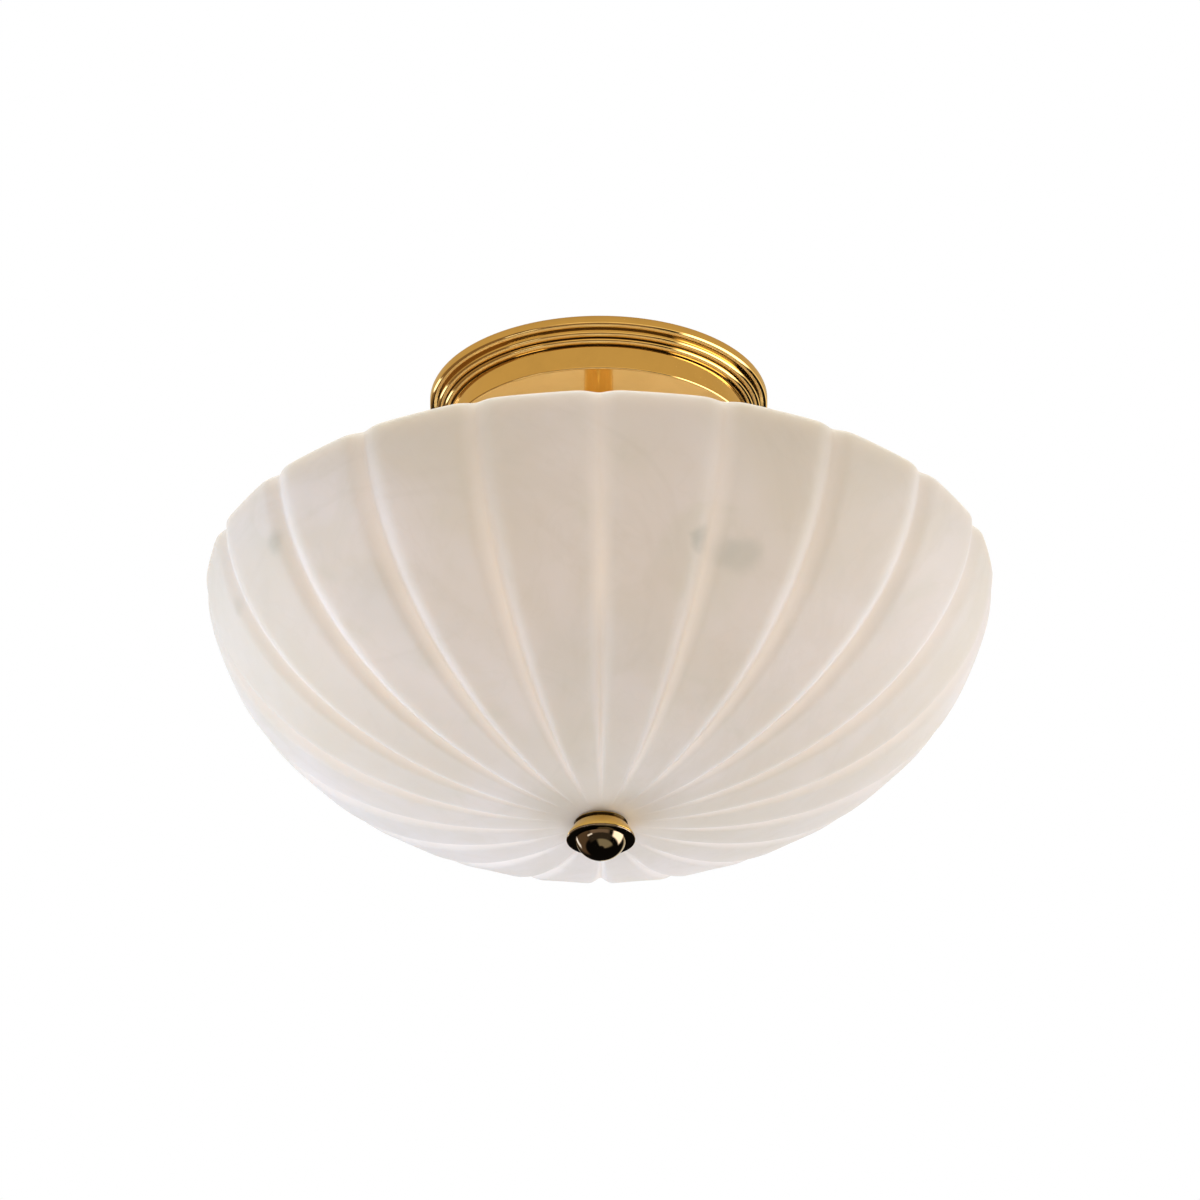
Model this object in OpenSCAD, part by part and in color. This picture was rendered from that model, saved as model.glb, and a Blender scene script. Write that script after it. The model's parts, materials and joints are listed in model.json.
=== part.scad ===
// Semi-flush ceiling light: stepped brass canopy, stem, three-lamp cluster
// and a carved stone bowl carried by a finial at its centre.
// The origin is the centre of the canopy's back, on the ceiling. +Z points
// up, so everything hangs below it.

/* [Canopy] */
// Depth of the canopy, from the ceiling to its flat plate
canopy_h = 26.5; // [24:0.5:32]
// Radius of the plain band at its lower edge
band_r = 79.5; // [76:0.5:86]
// How much narrower the band is where it meets the steps
band_taper = 1.5; // [0.5:0.1:2]
// Rounding of the upper step
step_1_r = 3; // [2.8:0.1:3.4]
// Rounding of the middle step
step_2_r = 2.3; // [2.1:0.1:2.6]
// Rounding of the lower step
step_3_r = 2; // [1.8:0.1:2.2]
// How far each step lies inside the one above
step_in = 2.8; // [2.4:0.1:3.2]
// Thickness of the brass sheet
canopy_wall = 1.2; // [0.8:0.1:1.6]
// Width of the turned-in lip that rests on the ceiling
lip_w = 7; // [5:0.5:8]
// Rounding of the edge between the band and the plate
plate_edge_r = 1; // [0.6:0.1:1.4]
// Height of the guide ring's flange under the plate
ring_h = 1.4; // [1:0.1:2.5]

/* [Ceiling fastening] */
// Length of the crossbar
strap_len = 136; // [130:1:142]
// Width of the crossbar
strap_w = 25.4; // [20:0.2:30]
// Thickness of the crossbar
strap_t = 2; // [1.6:0.1:2.6]
// How far the middle of the crossbar lies under the ceiling
strap_drop = 9; // [8:0.5:10]
// Distance between the centres of the two slots
slot_spacing = 79.4; // [78:0.2:82]
// End-to-end length of a slot
slot_len = 14; // [10:0.5:15]
// Width of a slot
slot_w = 4.8; // [4.2:0.1:5.4]
// Distance between the two canopy studs
stud_spacing = 120; // [114:1:124]
// Diameter of a canopy stud
stud_d = 4.1; // [3.6:0.1:4.8]
// Length of a stud below the plate
stud_reach = 7.5; // [6:0.5:8]
// Diameter of the ball of a canopy knob
ball_d = 12.4; // [11:0.2:14]

/* [Stem and rod] */
// Diameter of the stem tube
stem_d = 15.9; // [15:0.1:17]
// Wall of the stem tube
stem_wall = 1; // [0.8:0.1:1.4]
// Outer diameter of the pipe thread on the nipple and the rod
thread_d = 9.7; // [9.4:0.1:10.2]
// Bore of the nipple and the rod
thread_bore = 6.4; // [5:0.1:7]
// How far a nipple or rod screws into the stem
screw_depth = 12; // [9:0.5:14]
// Height of a hex nut on the pipe thread
nut_h = 4; // [3:0.5:5]
// Width across the flats of that nut
nut_af = 14.3; // [13.5:0.1:16]

/* [Lamp cluster] */
// Number of lamps
lamp_count = 3; // [3]
// How far the lamps' axes lie below the bowl's rim
lamp_drop = 52; // [48:1:56]
// Radius of the cluster's hub
hub_r = 24; // [22:0.5:26]
// Height of the hub below its cap
hub_h = 26; // [22:0.5:30]
// Height of the hub's cap
hub_cap_h = 10; // [8:0.5:14]
// Wall of the hub and its cap
hub_wall = 1.6; // [1.2:0.1:2.2]
// Length of an arm outside the hub
arm_len = 12; // [10:0.5:14]
// Diameter of an arm
arm_d = 13; // [12:0.5:14]
// Length of a lampholder
holder_len = 42; // [40:0.5:46]
// Wall of a lampholder
holder_wall = 4.8; // [4:0.1:6]
// Outer diameter of a lamp's screw cap
cap_d = 26; // [26]
// Length of a lamp from its tip contact to the end of its glass
lamp_len = 90; // [86:1:92]
// Diameter of a lamp's glass
glass_d = 48; // [44:1:50]
// Thickness of the glass
glass_wall = 1; // [0.8:0.1:1.4]

/* [Bowl] */
// Outer diameter of the bowl over its lobes
bowl_d = 406; // [396:2:450]
// Height of the bowl
bowl_h = 139; // [130:1:160]
// Fall from the ceiling to the bowl's rim
rim_drop = 108; // [100:1:130]
// Thickness of the bowl's wall under a lobe
bowl_wall = 12; // [10:0.5:14]
// Thickness of the bowl's bottom
base_wall = 12; // [10:0.5:14]
// Number of lobes
lobe_count = 20; // [12:1:24]
// Depth of a groove between two lobes at the rim
groove_depth = 4.4; // [2:0.1:5]
// Rounding of the rim
rim_r = 2.4; // [1.5:0.1:4]
// Diameter of the hole in the bowl's bottom
bowl_hole_d = 13; // [12:0.5:15]

/* [Finial] */
// Diameter of the outer washer
washer_d = 27.5; // [24:0.5:30]
// Thickness of the outer washer
washer_t = 1.9; // [1.5:0.1:3]
// Height of the finial's cone
cone_h = 7.2; // [5:0.2:9]
// Diameter of the cone at its upper edge
cone_top_d = 26.8; // [24:0.2:28]
// Diameter of the finial's flange
flange_d = 35.2; // [32:0.2:38]
// Thickness of the flange
flange_t = 1.3; // [1:0.1:2]
// Height of the dome under the flange
dome_h = 10; // [9:0.2:12]
// Diameter of the dome where it meets the flange
dome_d = 26.4; // [24:0.2:28]

/* [Hidden] */
$fn = 64;

// Clearances
thread_gap = 0.05;
slide_gap = 0.08;
// Extra length of a cutter beyond the face it opens
over = 1;

// Colours
brass = [0.83, 0.63, 0.27];
steel = [0.72, 0.73, 0.75];
stone = [0.87, 0.83, 0.78];
porcelain = [0.95, 0.94, 0.91];
dark_metal = [0.12, 0.10, 0.08];
rubber = [0.25, 0.22, 0.20];
earth_green = [0.10, 0.45, 0.20];

// Radii from the diameters above
stud_r = stud_d / 2;
stem_r = stem_d / 2;
thread_r = thread_d / 2;
bore_r = thread_bore / 2;
cap_r = cap_d / 2;
glass_r = glass_d / 2;
bowl_r = bowl_d / 2;

// Canopy: centres of the three steps
band_top_r = band_r - band_taper;
step_bite = 0.2;
step_3_out = 1.3;
step_3_c = band_top_r + step_3_out;
step_2_c = step_3_c + step_in;
step_1_c = step_2_c + step_in;
step_1_z = -step_1_r;
step_2_z = step_1_z - sqrt(pow(step_1_r + step_2_r - step_bite, 2) - pow(step_in, 2));
step_3_z = step_2_z - sqrt(pow(step_2_r + step_3_r - step_bite, 2) - pow(step_in, 2));

// Ceiling fastening
strap_bend = 26;
strap_slope = 5;
strap_bend_shift = 1.2;
strap_corner = 4;
stud_hole_gap = 0.35;
stud_end_gap = 0.5;
stud_nut_af = 8.7;
stud_nut_h = 3.2;
ground_x = 15;
ground_r = 2;
ground_head_r = 4;
ground_head_h = 2.5;
ground_slot_w = 1;
ball_r = ball_d / 2;
ball_sink = 0.8;
knob_foot_r = 6;
knob_foot_h = 1.2;
knob_neck_r = 3.8;
knob_neck_h = 2.6;

// Heights down the centre line
strap_top_z = -strap_drop;
strap_low_z = strap_top_z - strap_t;
stem_top_z = strap_low_z - nut_h;
nipple_stand = 2;
plate_z = -canopy_h;
rim_z = -rim_drop;
lamp_z = rim_z - lamp_drop;
hub_top_z = lamp_z + hub_h / 2;
hub_low_z = lamp_z - hub_h / 2;
stem_low_z = hub_top_z + hub_cap_h;

// Stem ring
ring_r = 13;
ring_neck_r = 10.5;
ring_neck_h = 1.4;
ring_round = 0.6;

// Hub
hub_cap_top_r = stem_r + 3;
arm_inside = 1;

// Lamp: distances along its axis, from the back of the lampholder
holder_in = 11;
shell_gap = 0.3;
shell_t = 0.7;
shell_in_r = cap_r + shell_gap;
shell_out_r = shell_in_r + shell_t;
shell_end = holder_len - 2;
shell_floor_r = 7;
holder_r = shell_out_r + thread_gap + holder_wall;
holder_back_r = 12;
holder_shoulder = 9;
holder_lip_r = holder_r + 1;
holder_lip_w = 4;
holder_hole = 8;
contact_r = 4;
contact_t = 1;
contact_gap = 0.1;
rivet_r = 1.5;
tip_start = holder_in + contact_t + contact_gap;
tip_h = 3.5;
tip_r = 4;
tip_base_r = 9;
cap_start = tip_start + tip_h;
cap_end = shell_end;
cap_wall = 0.8;
cap_groove = 0.9;
cap_floor = 3;
cap_lead = 2.5;
cap_thread = 3.5;
cap_pitch = 3.63;
glass_start = cap_end;
glass_end = tip_start + lamp_len;
neck_r = cap_r - 0.6;
neck_len = 6;
shoulder_angle = -38;
glass_steps = 8;
holder_start = hub_r + arm_len;
spigot_len = holder_hole - 1;
lamp_first = 30;
lamp_step = 360 / lamp_count;

// Bowl: the outside is a superellipse of revolution with carved grooves
shape_r = 2.29;
shape_z = 1.82;
seat_r = 15.5;
inner_seat_r = 22;
groove_fade = 40;
groove_width = 0.32;
lobe_flat = 0.7;
bowl_rings = 17;
rim_rings = 3;
lobe_marks = [-0.62, -0.32, -0.12, 0, 0.12, 0.32, 0.62, 1];
bowl_hole_r = bowl_hole_d / 2;
inner_r = bowl_r - bowl_wall;
inner_rings = 9;

// Parts below the bowl and inside its bottom
base_z = rim_z - bowl_depth_at(seat_r);
inner_base_z = base_z + base_wall;
pad_t = 1.5;
pad_r = 20;
pad_hole_r = thread_r + 0.4;
inner_washer_r = 19;
outer_pad_t = 0.5;
outer_pad_r = 12;
washer_z = base_z - outer_pad_t;
cone_z = washer_z - washer_t;
knob_z = cone_z - cone_h;
cone_foot_in = 0.1;
cone_waist_in = 0.8;
cone_waist_z = cone_z - 0.74 * cone_h;
knob_hole = 9.5;
dome_steps = 8;
rod_play = 0.2;
rod_low_z = knob_z - knob_hole + rod_play;
rod_window_r = 2;
rod_window_z = lamp_z + 4;

// Depth below the rim at which the bowl's outside has a given radius
function bowl_depth_at(r) = bowl_h * pow(1 - pow(r / bowl_r, shape_r), 1 / shape_z);

// Point of a superellipse profile: t runs from 0 at the pole to 90 at the rim
function profile_point(t, radius, depth) =
    [radius * pow(sin(t), 2 / shape_r), -depth * pow(cos(t), 2 / shape_z)];

// Value of t at which the profile reaches radius r
function profile_start(r, radius) = asin(pow(r / radius, shape_r / 2));

// Unit normal of the bowl's outside, pointing away from the stone
function profile_normal(t) =
    let (
        a = profile_point(t - 0.2, bowl_r, bowl_h),
        b = profile_point(min(t + 0.2, 90), bowl_r, bowl_h),
        d = (b - a) / norm(b - a)
    ) [d[1], -d[0]];

// How far the surface lies inside the full profile: mark is 0 on a groove
// and 1 on the middle of a lobe
function carve_at(mark, r) =
    let (
        flank = max(0, 1 - abs(mark) / groove_width),
        fade = 1 - exp(-(r - seat_r) / groove_fade)
    ) fade * (groove_depth * flank * flank + lobe_flat * (1 - cos(180 * abs(mark))) / 2);

// Profile parameter of the last ring below the rim's rounding
rim_t = acos(pow(rim_r / bowl_h, shape_z / 2));
base_t = profile_start(seat_r, bowl_r);

function ring_t(i) = base_t + (rim_t - base_t) * i / bowl_rings;

// Point of the carved surface: ring i, angle from a groove's middle, mark
function side_point(i, angle, mark) =
    let (
        t = ring_t(i),
        p = profile_point(t, bowl_r, bowl_h),
        q = p - profile_normal(t) * carve_at(mark, p[0])
    ) [q[0] * cos(angle), q[0] * sin(angle), q[1]];

function rim_point(i, angle, mark) =
    let (
        turn = 90 * i / rim_rings,
        edge_r = profile_point(rim_t, bowl_r, bowl_h)[0],
        r = edge_r - rim_r * (1 - cos(turn)) - carve_at(mark, bowl_r)
    ) [r * cos(angle), r * sin(angle), -rim_r * (1 - sin(turn))];

function bowl_point(i, angle, mark) =
    i <= bowl_rings ? side_point(i, angle, mark) : rim_point(i - bowl_rings, angle, mark);

// Regular helpers
module tube(r, bore, low, high) {
    difference() {
        translate([0, 0, low]) cylinder(r = r, h = high - low);
        translate([0, 0, low - over]) cylinder(r = bore, h = high - low + 2 * over);
    }
}

module hex_nut(af, hole_r, low, h) {
    difference() {
        translate([0, 0, low]) cylinder(d = af / cos(30), h = h, $fn = 6);
        translate([0, 0, low - over]) cylinder(r = hole_r, h = h + 2 * over);
    }
}

module at_studs() {
    for (side = [-1, 1]) translate([side * stud_spacing / 2, 0, 0]) children();
}

// Turns a shape drawn along +Z from a lampholder's back into lamp i's place
module at_lamp(i) {
    rotate([0, 0, lamp_first + lamp_step * (i - 1)])
        translate([holder_start, 0, lamp_z])
            rotate([0, 90, 0]) children();
}

// Ceiling fastening
module crossbar() {
    half = strap_len / 2;
    low_bend = strap_bend + strap_bend_shift;
    profile = [
        [-half, 0], [-strap_bend - strap_slope, 0], [-strap_bend, strap_top_z],
        [strap_bend, strap_top_z], [strap_bend + strap_slope, 0], [half, 0],
        [half, -strap_t], [low_bend + strap_slope, -strap_t], [low_bend, strap_low_z],
        [-low_bend, strap_low_z], [-low_bend - strap_slope, -strap_t], [-half, -strap_t]
    ];
    side = strap_w / 2;
    end_in = half - strap_corner;
    side_in = side - strap_corner;
    outline = [
        [half, -side_in], [half, side_in], [end_in, side], [-end_in, side],
        [-half, side_in], [-half, -side_in], [-end_in, -side], [end_in, -side]
    ];
    color(steel) difference() {
        intersection() {
            translate([0, side + over, 0]) rotate([90, 0, 0])
                linear_extrude(strap_w + 2 * over) polygon(profile);
            translate([0, 0, strap_low_z - over]) linear_extrude(strap_drop + strap_t + 2 * over)
                polygon(outline);
        }
        translate([0, 0, strap_low_z - over])
            cylinder(r = thread_r + thread_gap, h = strap_t + 2 * over);
        translate([ground_x, 0, strap_low_z - over])
            cylinder(r = ground_r + thread_gap, h = strap_t + 2 * over);
        at_studs() translate([0, 0, -strap_t - over])
            cylinder(r = stud_r + thread_gap, h = strap_t + 2 * over);
        for (side_x = [-1, 1]) translate([side_x * slot_spacing / 2, 0, -strap_t - over])
            linear_extrude(strap_t + 2 * over) slot_outline();
    }
}

module slot_outline() {
    run = slot_len - slot_w;
    square([run, slot_w], center = true);
    for (end = [-1, 1]) translate([end * run / 2, 0]) circle(d = slot_w);
}

module ground_screw() {
    color(earth_green) difference() {
        union() {
            translate([ground_x, 0, strap_low_z]) cylinder(r = ground_r, h = strap_t + nut_h);
            translate([ground_x, 0, strap_low_z - ground_head_h])
                cylinder(d = 2 * ground_head_r / cos(30), h = ground_head_h, $fn = 6);
        }
        translate([ground_x - 2 * ground_head_r, -ground_slot_w / 2, strap_low_z - ground_head_h - over])
            cube([4 * ground_head_r, ground_slot_w, ground_slot_w + over]);
    }
}

module canopy_studs() {
    color(brass) at_studs() translate([0, 0, plate_z - stud_reach])
        cylinder(r = stud_r, h = canopy_h + stud_reach);
}

module stud_nuts() {
    color(steel) at_studs()
        hex_nut(stud_nut_af, stud_r + thread_gap, -strap_t - stud_nut_h, stud_nut_h);
}

module top_nipple() {
    color(steel) tube(thread_r, bore_r, stem_top_z - screw_depth, strap_top_z + nut_h + nipple_stand);
}

module nipple_nuts() {
    color(steel) for (low = [strap_top_z, stem_top_z]) hex_nut(nut_af, thread_r + thread_gap, low, nut_h);
}

// Canopy: band and plate, with the three steps as rounded rings
module canopy_body() {
    edge = [
        for (a = [0 : 30 : 90])
            [band_r - plate_edge_r * (1 - cos(a)), plate_z + plate_edge_r * (1 - sin(a))]
    ];
    rotate_extrude($fn = 96) polygon(concat(
        [[0, 0], [step_1_c, 0], [step_1_c, step_1_z], [step_2_c, step_2_z], [step_3_c, step_3_z],
            [band_top_r, step_3_z]],
        edge,
        [[0, plate_z]]
    ));
}

module canopy_step(c, z, r) {
    rotate_extrude($fn = 96) translate([c, z]) circle(r, $fn = 32);
}

module canopy_hollow() {
    rotate_extrude($fn = 96) polygon([
        [0, plate_z + canopy_wall], [band_r - plate_edge_r - canopy_wall, plate_z + canopy_wall],
        [band_top_r - canopy_wall, step_3_z - step_3_r], [step_1_c - canopy_wall, step_1_z],
        [step_1_c - canopy_wall, -canopy_wall], [step_1_c - lip_w, -canopy_wall],
        [step_1_c - lip_w, over], [0, over]
    ]);
}

module canopy() {
    color(brass) difference() {
        union() {
            canopy_body();
            canopy_step(step_1_c, step_1_z, step_1_r);
            canopy_step(step_2_c, step_2_z, step_2_r);
            canopy_step(step_3_c, step_3_z, step_3_r);
        }
        canopy_hollow();
        translate([0, 0, plate_z - over])
            cylinder(r = ring_neck_r + thread_gap, h = canopy_wall + 2 * over);
        at_studs() translate([0, 0, plate_z - over])
            cylinder(r = stud_r + stud_hole_gap, h = canopy_wall + 2 * over);
    }
}

module stem_ring() {
    flange_low = plate_z - ring_h;
    color(brass) rotate_extrude() polygon(concat(
        [[stem_r + slide_gap, flange_low], [stem_r + slide_gap, plate_z + canopy_wall + ring_neck_h],
            [ring_neck_r, plate_z + canopy_wall + ring_neck_h], [ring_neck_r, plate_z],
            [ring_r, plate_z]],
        [for (a = [0 : 30 : 90])
            [ring_r - ring_round * (1 - cos(a)), flange_low + ring_round * (1 - sin(a))]]
    ));
}

module ball_knob(side) {
    ball_z = plate_z - knob_foot_h - knob_neck_h - ball_r + ball_sink;
    color(brass) translate([side * stud_spacing / 2, 0, 0]) difference() {
        union() {
            translate([0, 0, plate_z - knob_foot_h]) cylinder(r = knob_foot_r, h = knob_foot_h);
            translate([0, 0, ball_z]) cylinder(r = knob_neck_r, h = plate_z - ball_z);
            translate([0, 0, ball_z]) sphere(r = ball_r);
        }
        translate([0, 0, plate_z - stud_reach - stud_end_gap])
            cylinder(r = stud_r + thread_gap, h = stud_reach + stud_end_gap + over);
    }
}

module knob_left() { ball_knob(-1); }
module knob_right() { ball_knob(1); }

// Stem: a tube with a threaded plug at each end
module stem() {
    plug = screw_depth + 2;
    color(brass) difference() {
        translate([0, 0, stem_low_z]) cylinder(r = stem_r, h = stem_top_z - stem_low_z);
        translate([0, 0, stem_low_z - over])
            cylinder(r = thread_r + thread_gap, h = stem_top_z - stem_low_z + 2 * over);
        translate([0, 0, stem_low_z + plug])
            cylinder(r = stem_r - stem_wall, h = stem_top_z - stem_low_z - 2 * plug);
    }
}

// Lamp cluster
module hub_cap() {
    inner_top_r = hub_cap_top_r - hub_wall / 2;
    inner_r = hub_r - hub_wall;
    curve = [
        for (a = [0 : 15 : 90])
            [hub_cap_top_r + (hub_r - hub_cap_top_r) * sin(a), hub_top_z + hub_cap_h * cos(a)]
    ];
    inner_curve = [
        for (a = [90 : -15 : 0])
            [inner_top_r + (inner_r - inner_top_r) * sin(a), hub_top_z + (hub_cap_h - hub_wall) * cos(a)]
    ];
    hole_r = thread_r + thread_gap;
    color(brass) rotate_extrude() polygon(concat(
        [[hole_r, stem_low_z]], curve, inner_curve, [[hole_r, stem_low_z - hub_wall]]
    ));
}

module socket_hub() {
    color(brass) difference() {
        translate([0, 0, hub_low_z]) cylinder(r = hub_r, h = hub_h);
        translate([0, 0, hub_low_z + 2 * hub_wall]) cylinder(r = hub_r - hub_wall, h = hub_h);
        translate([0, 0, hub_low_z - over]) cylinder(r = thread_r + thread_gap, h = hub_h);
        for (i = [1 : lamp_count]) at_lamp(i) translate([0, 0, -holder_start + hub_r / 2])
            cylinder(d = arm_d + 2 * thread_gap, h = hub_r);
    }
}

module hub_nut() {
    color(steel) hex_nut(nut_af, thread_r + thread_gap, hub_low_z - nut_h, nut_h);
}

module socket_arms() {
    start = hub_r - hub_wall - arm_inside - holder_start;
    color(brass) for (i = [1 : lamp_count]) at_lamp(i) difference() {
        union() {
            translate([0, 0, start]) cylinder(d = arm_d, h = -start);
            cylinder(r = thread_r, h = spigot_len);
        }
        translate([0, 0, start - over]) cylinder(r = bore_r, h = spigot_len - start + 2 * over);
    }
}

module lampholder(i) {
    color(porcelain) at_lamp(i) rotate_extrude() polygon([
        [thread_r + thread_gap, 0], [holder_back_r, 0], [holder_r, holder_shoulder],
        [holder_r, holder_len - holder_lip_w], [holder_lip_r, holder_len - holder_lip_w + 1],
        [holder_lip_r, holder_len - 1], [holder_lip_r - 1, holder_len],
        [shell_out_r + thread_gap, holder_len], [shell_out_r + thread_gap, holder_in],
        [rivet_r + thread_gap, holder_in], [rivet_r + thread_gap, holder_hole],
        [thread_r + thread_gap, holder_hole]
    ]);
}

module lampholder_1() { lampholder(1); }
module lampholder_2() { lampholder(2); }
module lampholder_3() { lampholder(3); }

module screw_shell(i) {
    color(steel) at_lamp(i) rotate_extrude() polygon([
        [shell_floor_r, holder_in], [shell_out_r, holder_in], [shell_out_r, shell_end],
        [shell_in_r, shell_end], [shell_in_r, holder_in + shell_t], [shell_floor_r, holder_in + shell_t]
    ]);
}

module screw_shell_1() { screw_shell(1); }
module screw_shell_2() { screw_shell(2); }
module screw_shell_3() { screw_shell(3); }

module contacts() {
    color(brass) for (i = [1 : lamp_count]) at_lamp(i) {
        translate([0, 0, holder_hole]) cylinder(r = rivet_r, h = holder_in - holder_hole + contact_t / 2);
        translate([0, 0, holder_in]) cylinder(r = contact_r, h = contact_t);
    }
}

// Lamps: insulating tip, screw cap and glass
module bulb_tip(i) {
    color(dark_metal) at_lamp(i) rotate_extrude() polygon([
        [0, tip_start], [tip_r, tip_start], [tip_r, tip_start + 1],
        [tip_base_r, cap_start], [0, cap_start]
    ]);
}

module bulb_tip_1() { bulb_tip(1); }
module bulb_tip_2() { bulb_tip(2); }
module bulb_tip_3() { bulb_tip(3); }

module bulb_cap(i) {
    turns = floor((cap_end - cap_start - cap_thread - 0.5) / cap_pitch);
    root_r = cap_r - cap_groove;
    crest = [
        for (k = [0 : turns - 1], s = [0 : 1])
            [s == 0 ? root_r : cap_r, cap_start + cap_thread + (k + s / 2) * cap_pitch]
    ];
    color(steel) at_lamp(i) rotate_extrude() polygon(concat(
        [[0, cap_start], [tip_base_r, cap_start], [root_r, cap_start + cap_lead]], crest,
        [[root_r, cap_start + cap_thread + turns * cap_pitch], [neck_r + cap_wall / 2, cap_end],
            [neck_r - cap_wall, cap_end], [neck_r - cap_wall, cap_start + cap_floor],
            [0, cap_start + cap_floor]]
    ));
}

module bulb_cap_1() { bulb_cap(1); }
module bulb_cap_2() { bulb_cap(2); }
module bulb_cap_3() { bulb_cap(3); }

// Half outline of the glass, set in from its surface by inset
function glass_outline(inset, start) =
    let (r = glass_r - inset, centre = glass_end - glass_r)
        concat(
            [[0, start], [neck_r - inset, start], [neck_r - inset, glass_start + neck_len]],
            [for (k = [0 : glass_steps - 1])
                let (a = shoulder_angle + (90 - shoulder_angle) * k / glass_steps)
                    [r * cos(a), centre + r * sin(a)]],
            [[0, centre + r]]
        );

module bulb(i) {
    color("white") at_lamp(i) difference() {
        rotate_extrude() polygon(glass_outline(0, glass_start));
        rotate_extrude() polygon(glass_outline(glass_wall, glass_start - over));
    }
}

module bulb_1() { bulb(1); }
module bulb_2() { bulb(2); }
module bulb_3() { bulb(3); }

// Rod from the stem through the hub and the bowl into the finial
module rod() {
    color(steel) difference() {
        tube(thread_r, bore_r, rod_low_z, stem_low_z + screw_depth);
        translate([0, 0, rod_window_z]) rotate([0, 90, lamp_first])
            cylinder(r = rod_window_r, h = 2 * thread_r);
    }
}

module clamp_nut() {
    color(steel) hex_nut(nut_af, thread_r + thread_gap, inner_base_z + 2 * pad_t, nut_h);
}

module inner_washer() {
    color(steel) tube(inner_washer_r, pad_hole_r, inner_base_z + pad_t, inner_base_z + 2 * pad_t);
}

module inner_gasket() {
    color(rubber) tube(pad_r, pad_hole_r, inner_base_z, inner_base_z + pad_t);
}

// Depth of the inner profile that puts its flat seat base_wall above the base
function inner_depth() =
    (bowl_depth_at(seat_r) - base_wall) / pow(1 - pow(inner_seat_r / inner_r, shape_r), 1 / shape_z);

// Section of the bowl's inside from the rim down to the hole, as radius and height
function inside_section() =
    let (
        depth = inner_depth(),
        start = profile_start(inner_seat_r, inner_r),
        end = acos(pow(rim_r / depth, shape_z / 2)),
        wall = [
            for (i = [inner_rings : -1 : 0])
                profile_point(start + (end - start) * i / inner_rings, inner_r, depth)
        ]
    ) concat(
        [for (a = [90 : -30 : 30]) [wall[0][0] + rim_r * (1 - cos(a)), -rim_r * (1 - sin(a))]],
        wall,
        [[bowl_hole_r, wall[inner_rings][1]], [bowl_hole_r, -bowl_depth_at(seat_r)]]
    );

// Bowl: one closed shell. Its rings go up the carved outside, over the rim,
// down the plain inside and through the hole.
module bowl() {
    around = lobe_count * len(lobe_marks);
    half_lobe = 180 / lobe_count;
    marks = [for (lobe = [1 : lobe_count]) each lobe_marks];
    angles = [for (lobe = [0 : lobe_count - 1], m = lobe_marks) 90 + half_lobe * (2 * lobe + m)];
    outside_rings = bowl_rings + rim_rings;
    inside = inside_section();
    rings = outside_rings + 1 + len(inside);
    points = concat(
        [for (i = [0 : outside_rings], k = [0 : around - 1]) bowl_point(i, angles[k], marks[k])],
        [for (p = inside, a = angles) [p[0] * cos(a), p[0] * sin(a), p[1]]]
    );
    faces = [
        for (i = [0 : rings - 1], k = [0 : around - 1])
            let (n = (k + 1) % around, a = i * around, b = (i + 1) % rings * around)
                each (i < outside_rings
                    ? [[a + n, a + k, b + k], [a + n, b + k, b + n]]
                    : [[a + n, a + k, b + k, b + n]])
    ];
    color(stone) translate([0, 0, rim_z]) polyhedron(points = points, faces = faces);
}

// Finial
module outer_gasket() {
    color(rubber) tube(outer_pad_r, pad_hole_r, washer_z, base_z);
}

module outer_washer() {
    half = washer_t / 2;
    color(brass) rotate_extrude() polygon(concat(
        [[pad_hole_r, washer_z], [pad_hole_r, cone_z]],
        [for (a = [-90 : 30 : 90]) [washer_d / 2 - half + half * cos(a), cone_z + half + half * sin(a)]]
    ));
}

module finial_cap() {
    flange_r = flange_d / 2;
    color(brass) rotate_extrude() polygon([
        [pad_hole_r, cone_z], [cone_top_d / 2, cone_z],
        [flange_r - cone_waist_in, cone_waist_z], [flange_r - cone_foot_in, knob_z], [pad_hole_r, knob_z]
    ]);
}

module finial_knob() {
    flange_r = flange_d / 2;
    half = flange_t / 2;
    dome_r = (pow(dome_d / 2, 2) + pow(dome_h, 2)) / (2 * dome_h);
    dome_c = knob_z - flange_t - dome_h + dome_r;
    reach = asin((dome_c - knob_z + flange_t) / dome_r);
    color(dark_metal) difference() {
        rotate_extrude() polygon(concat(
            [[0, knob_z]],
            [for (a = [90 : -30 : -90])
                [flange_r - half + half * cos(a), knob_z - half + half * sin(a)]],
            [for (k = [0 : dome_steps]) let (a = -reach - (90 - reach) * k / dome_steps)
                [max(0, dome_r * cos(a)), dome_c + dome_r * sin(a)]]
        ));
        translate([0, 0, knob_z - knob_hole])
            cylinder(r = thread_r + thread_gap, h = knob_hole + over);
    }
}

crossbar();
ground_screw();
canopy_studs();
stud_nuts();
top_nipple();
nipple_nuts();
canopy();
stem_ring();
knob_left();
knob_right();
stem();
hub_cap();
socket_hub();
hub_nut();
socket_arms();
lampholder_1();
lampholder_2();
lampholder_3();
screw_shell_1();
screw_shell_2();
screw_shell_3();
contacts();
bulb_tip_1();
bulb_tip_2();
bulb_tip_3();
bulb_cap_1();
bulb_cap_2();
bulb_cap_3();
bulb_1();
bulb_2();
bulb_3();
rod();
clamp_nut();
inner_washer();
inner_gasket();
bowl();
outer_gasket();
outer_washer();
finial_cap();
finial_knob();
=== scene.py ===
import json
import math

import bpy
from mathutils import Matrix, Vector, noise


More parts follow.
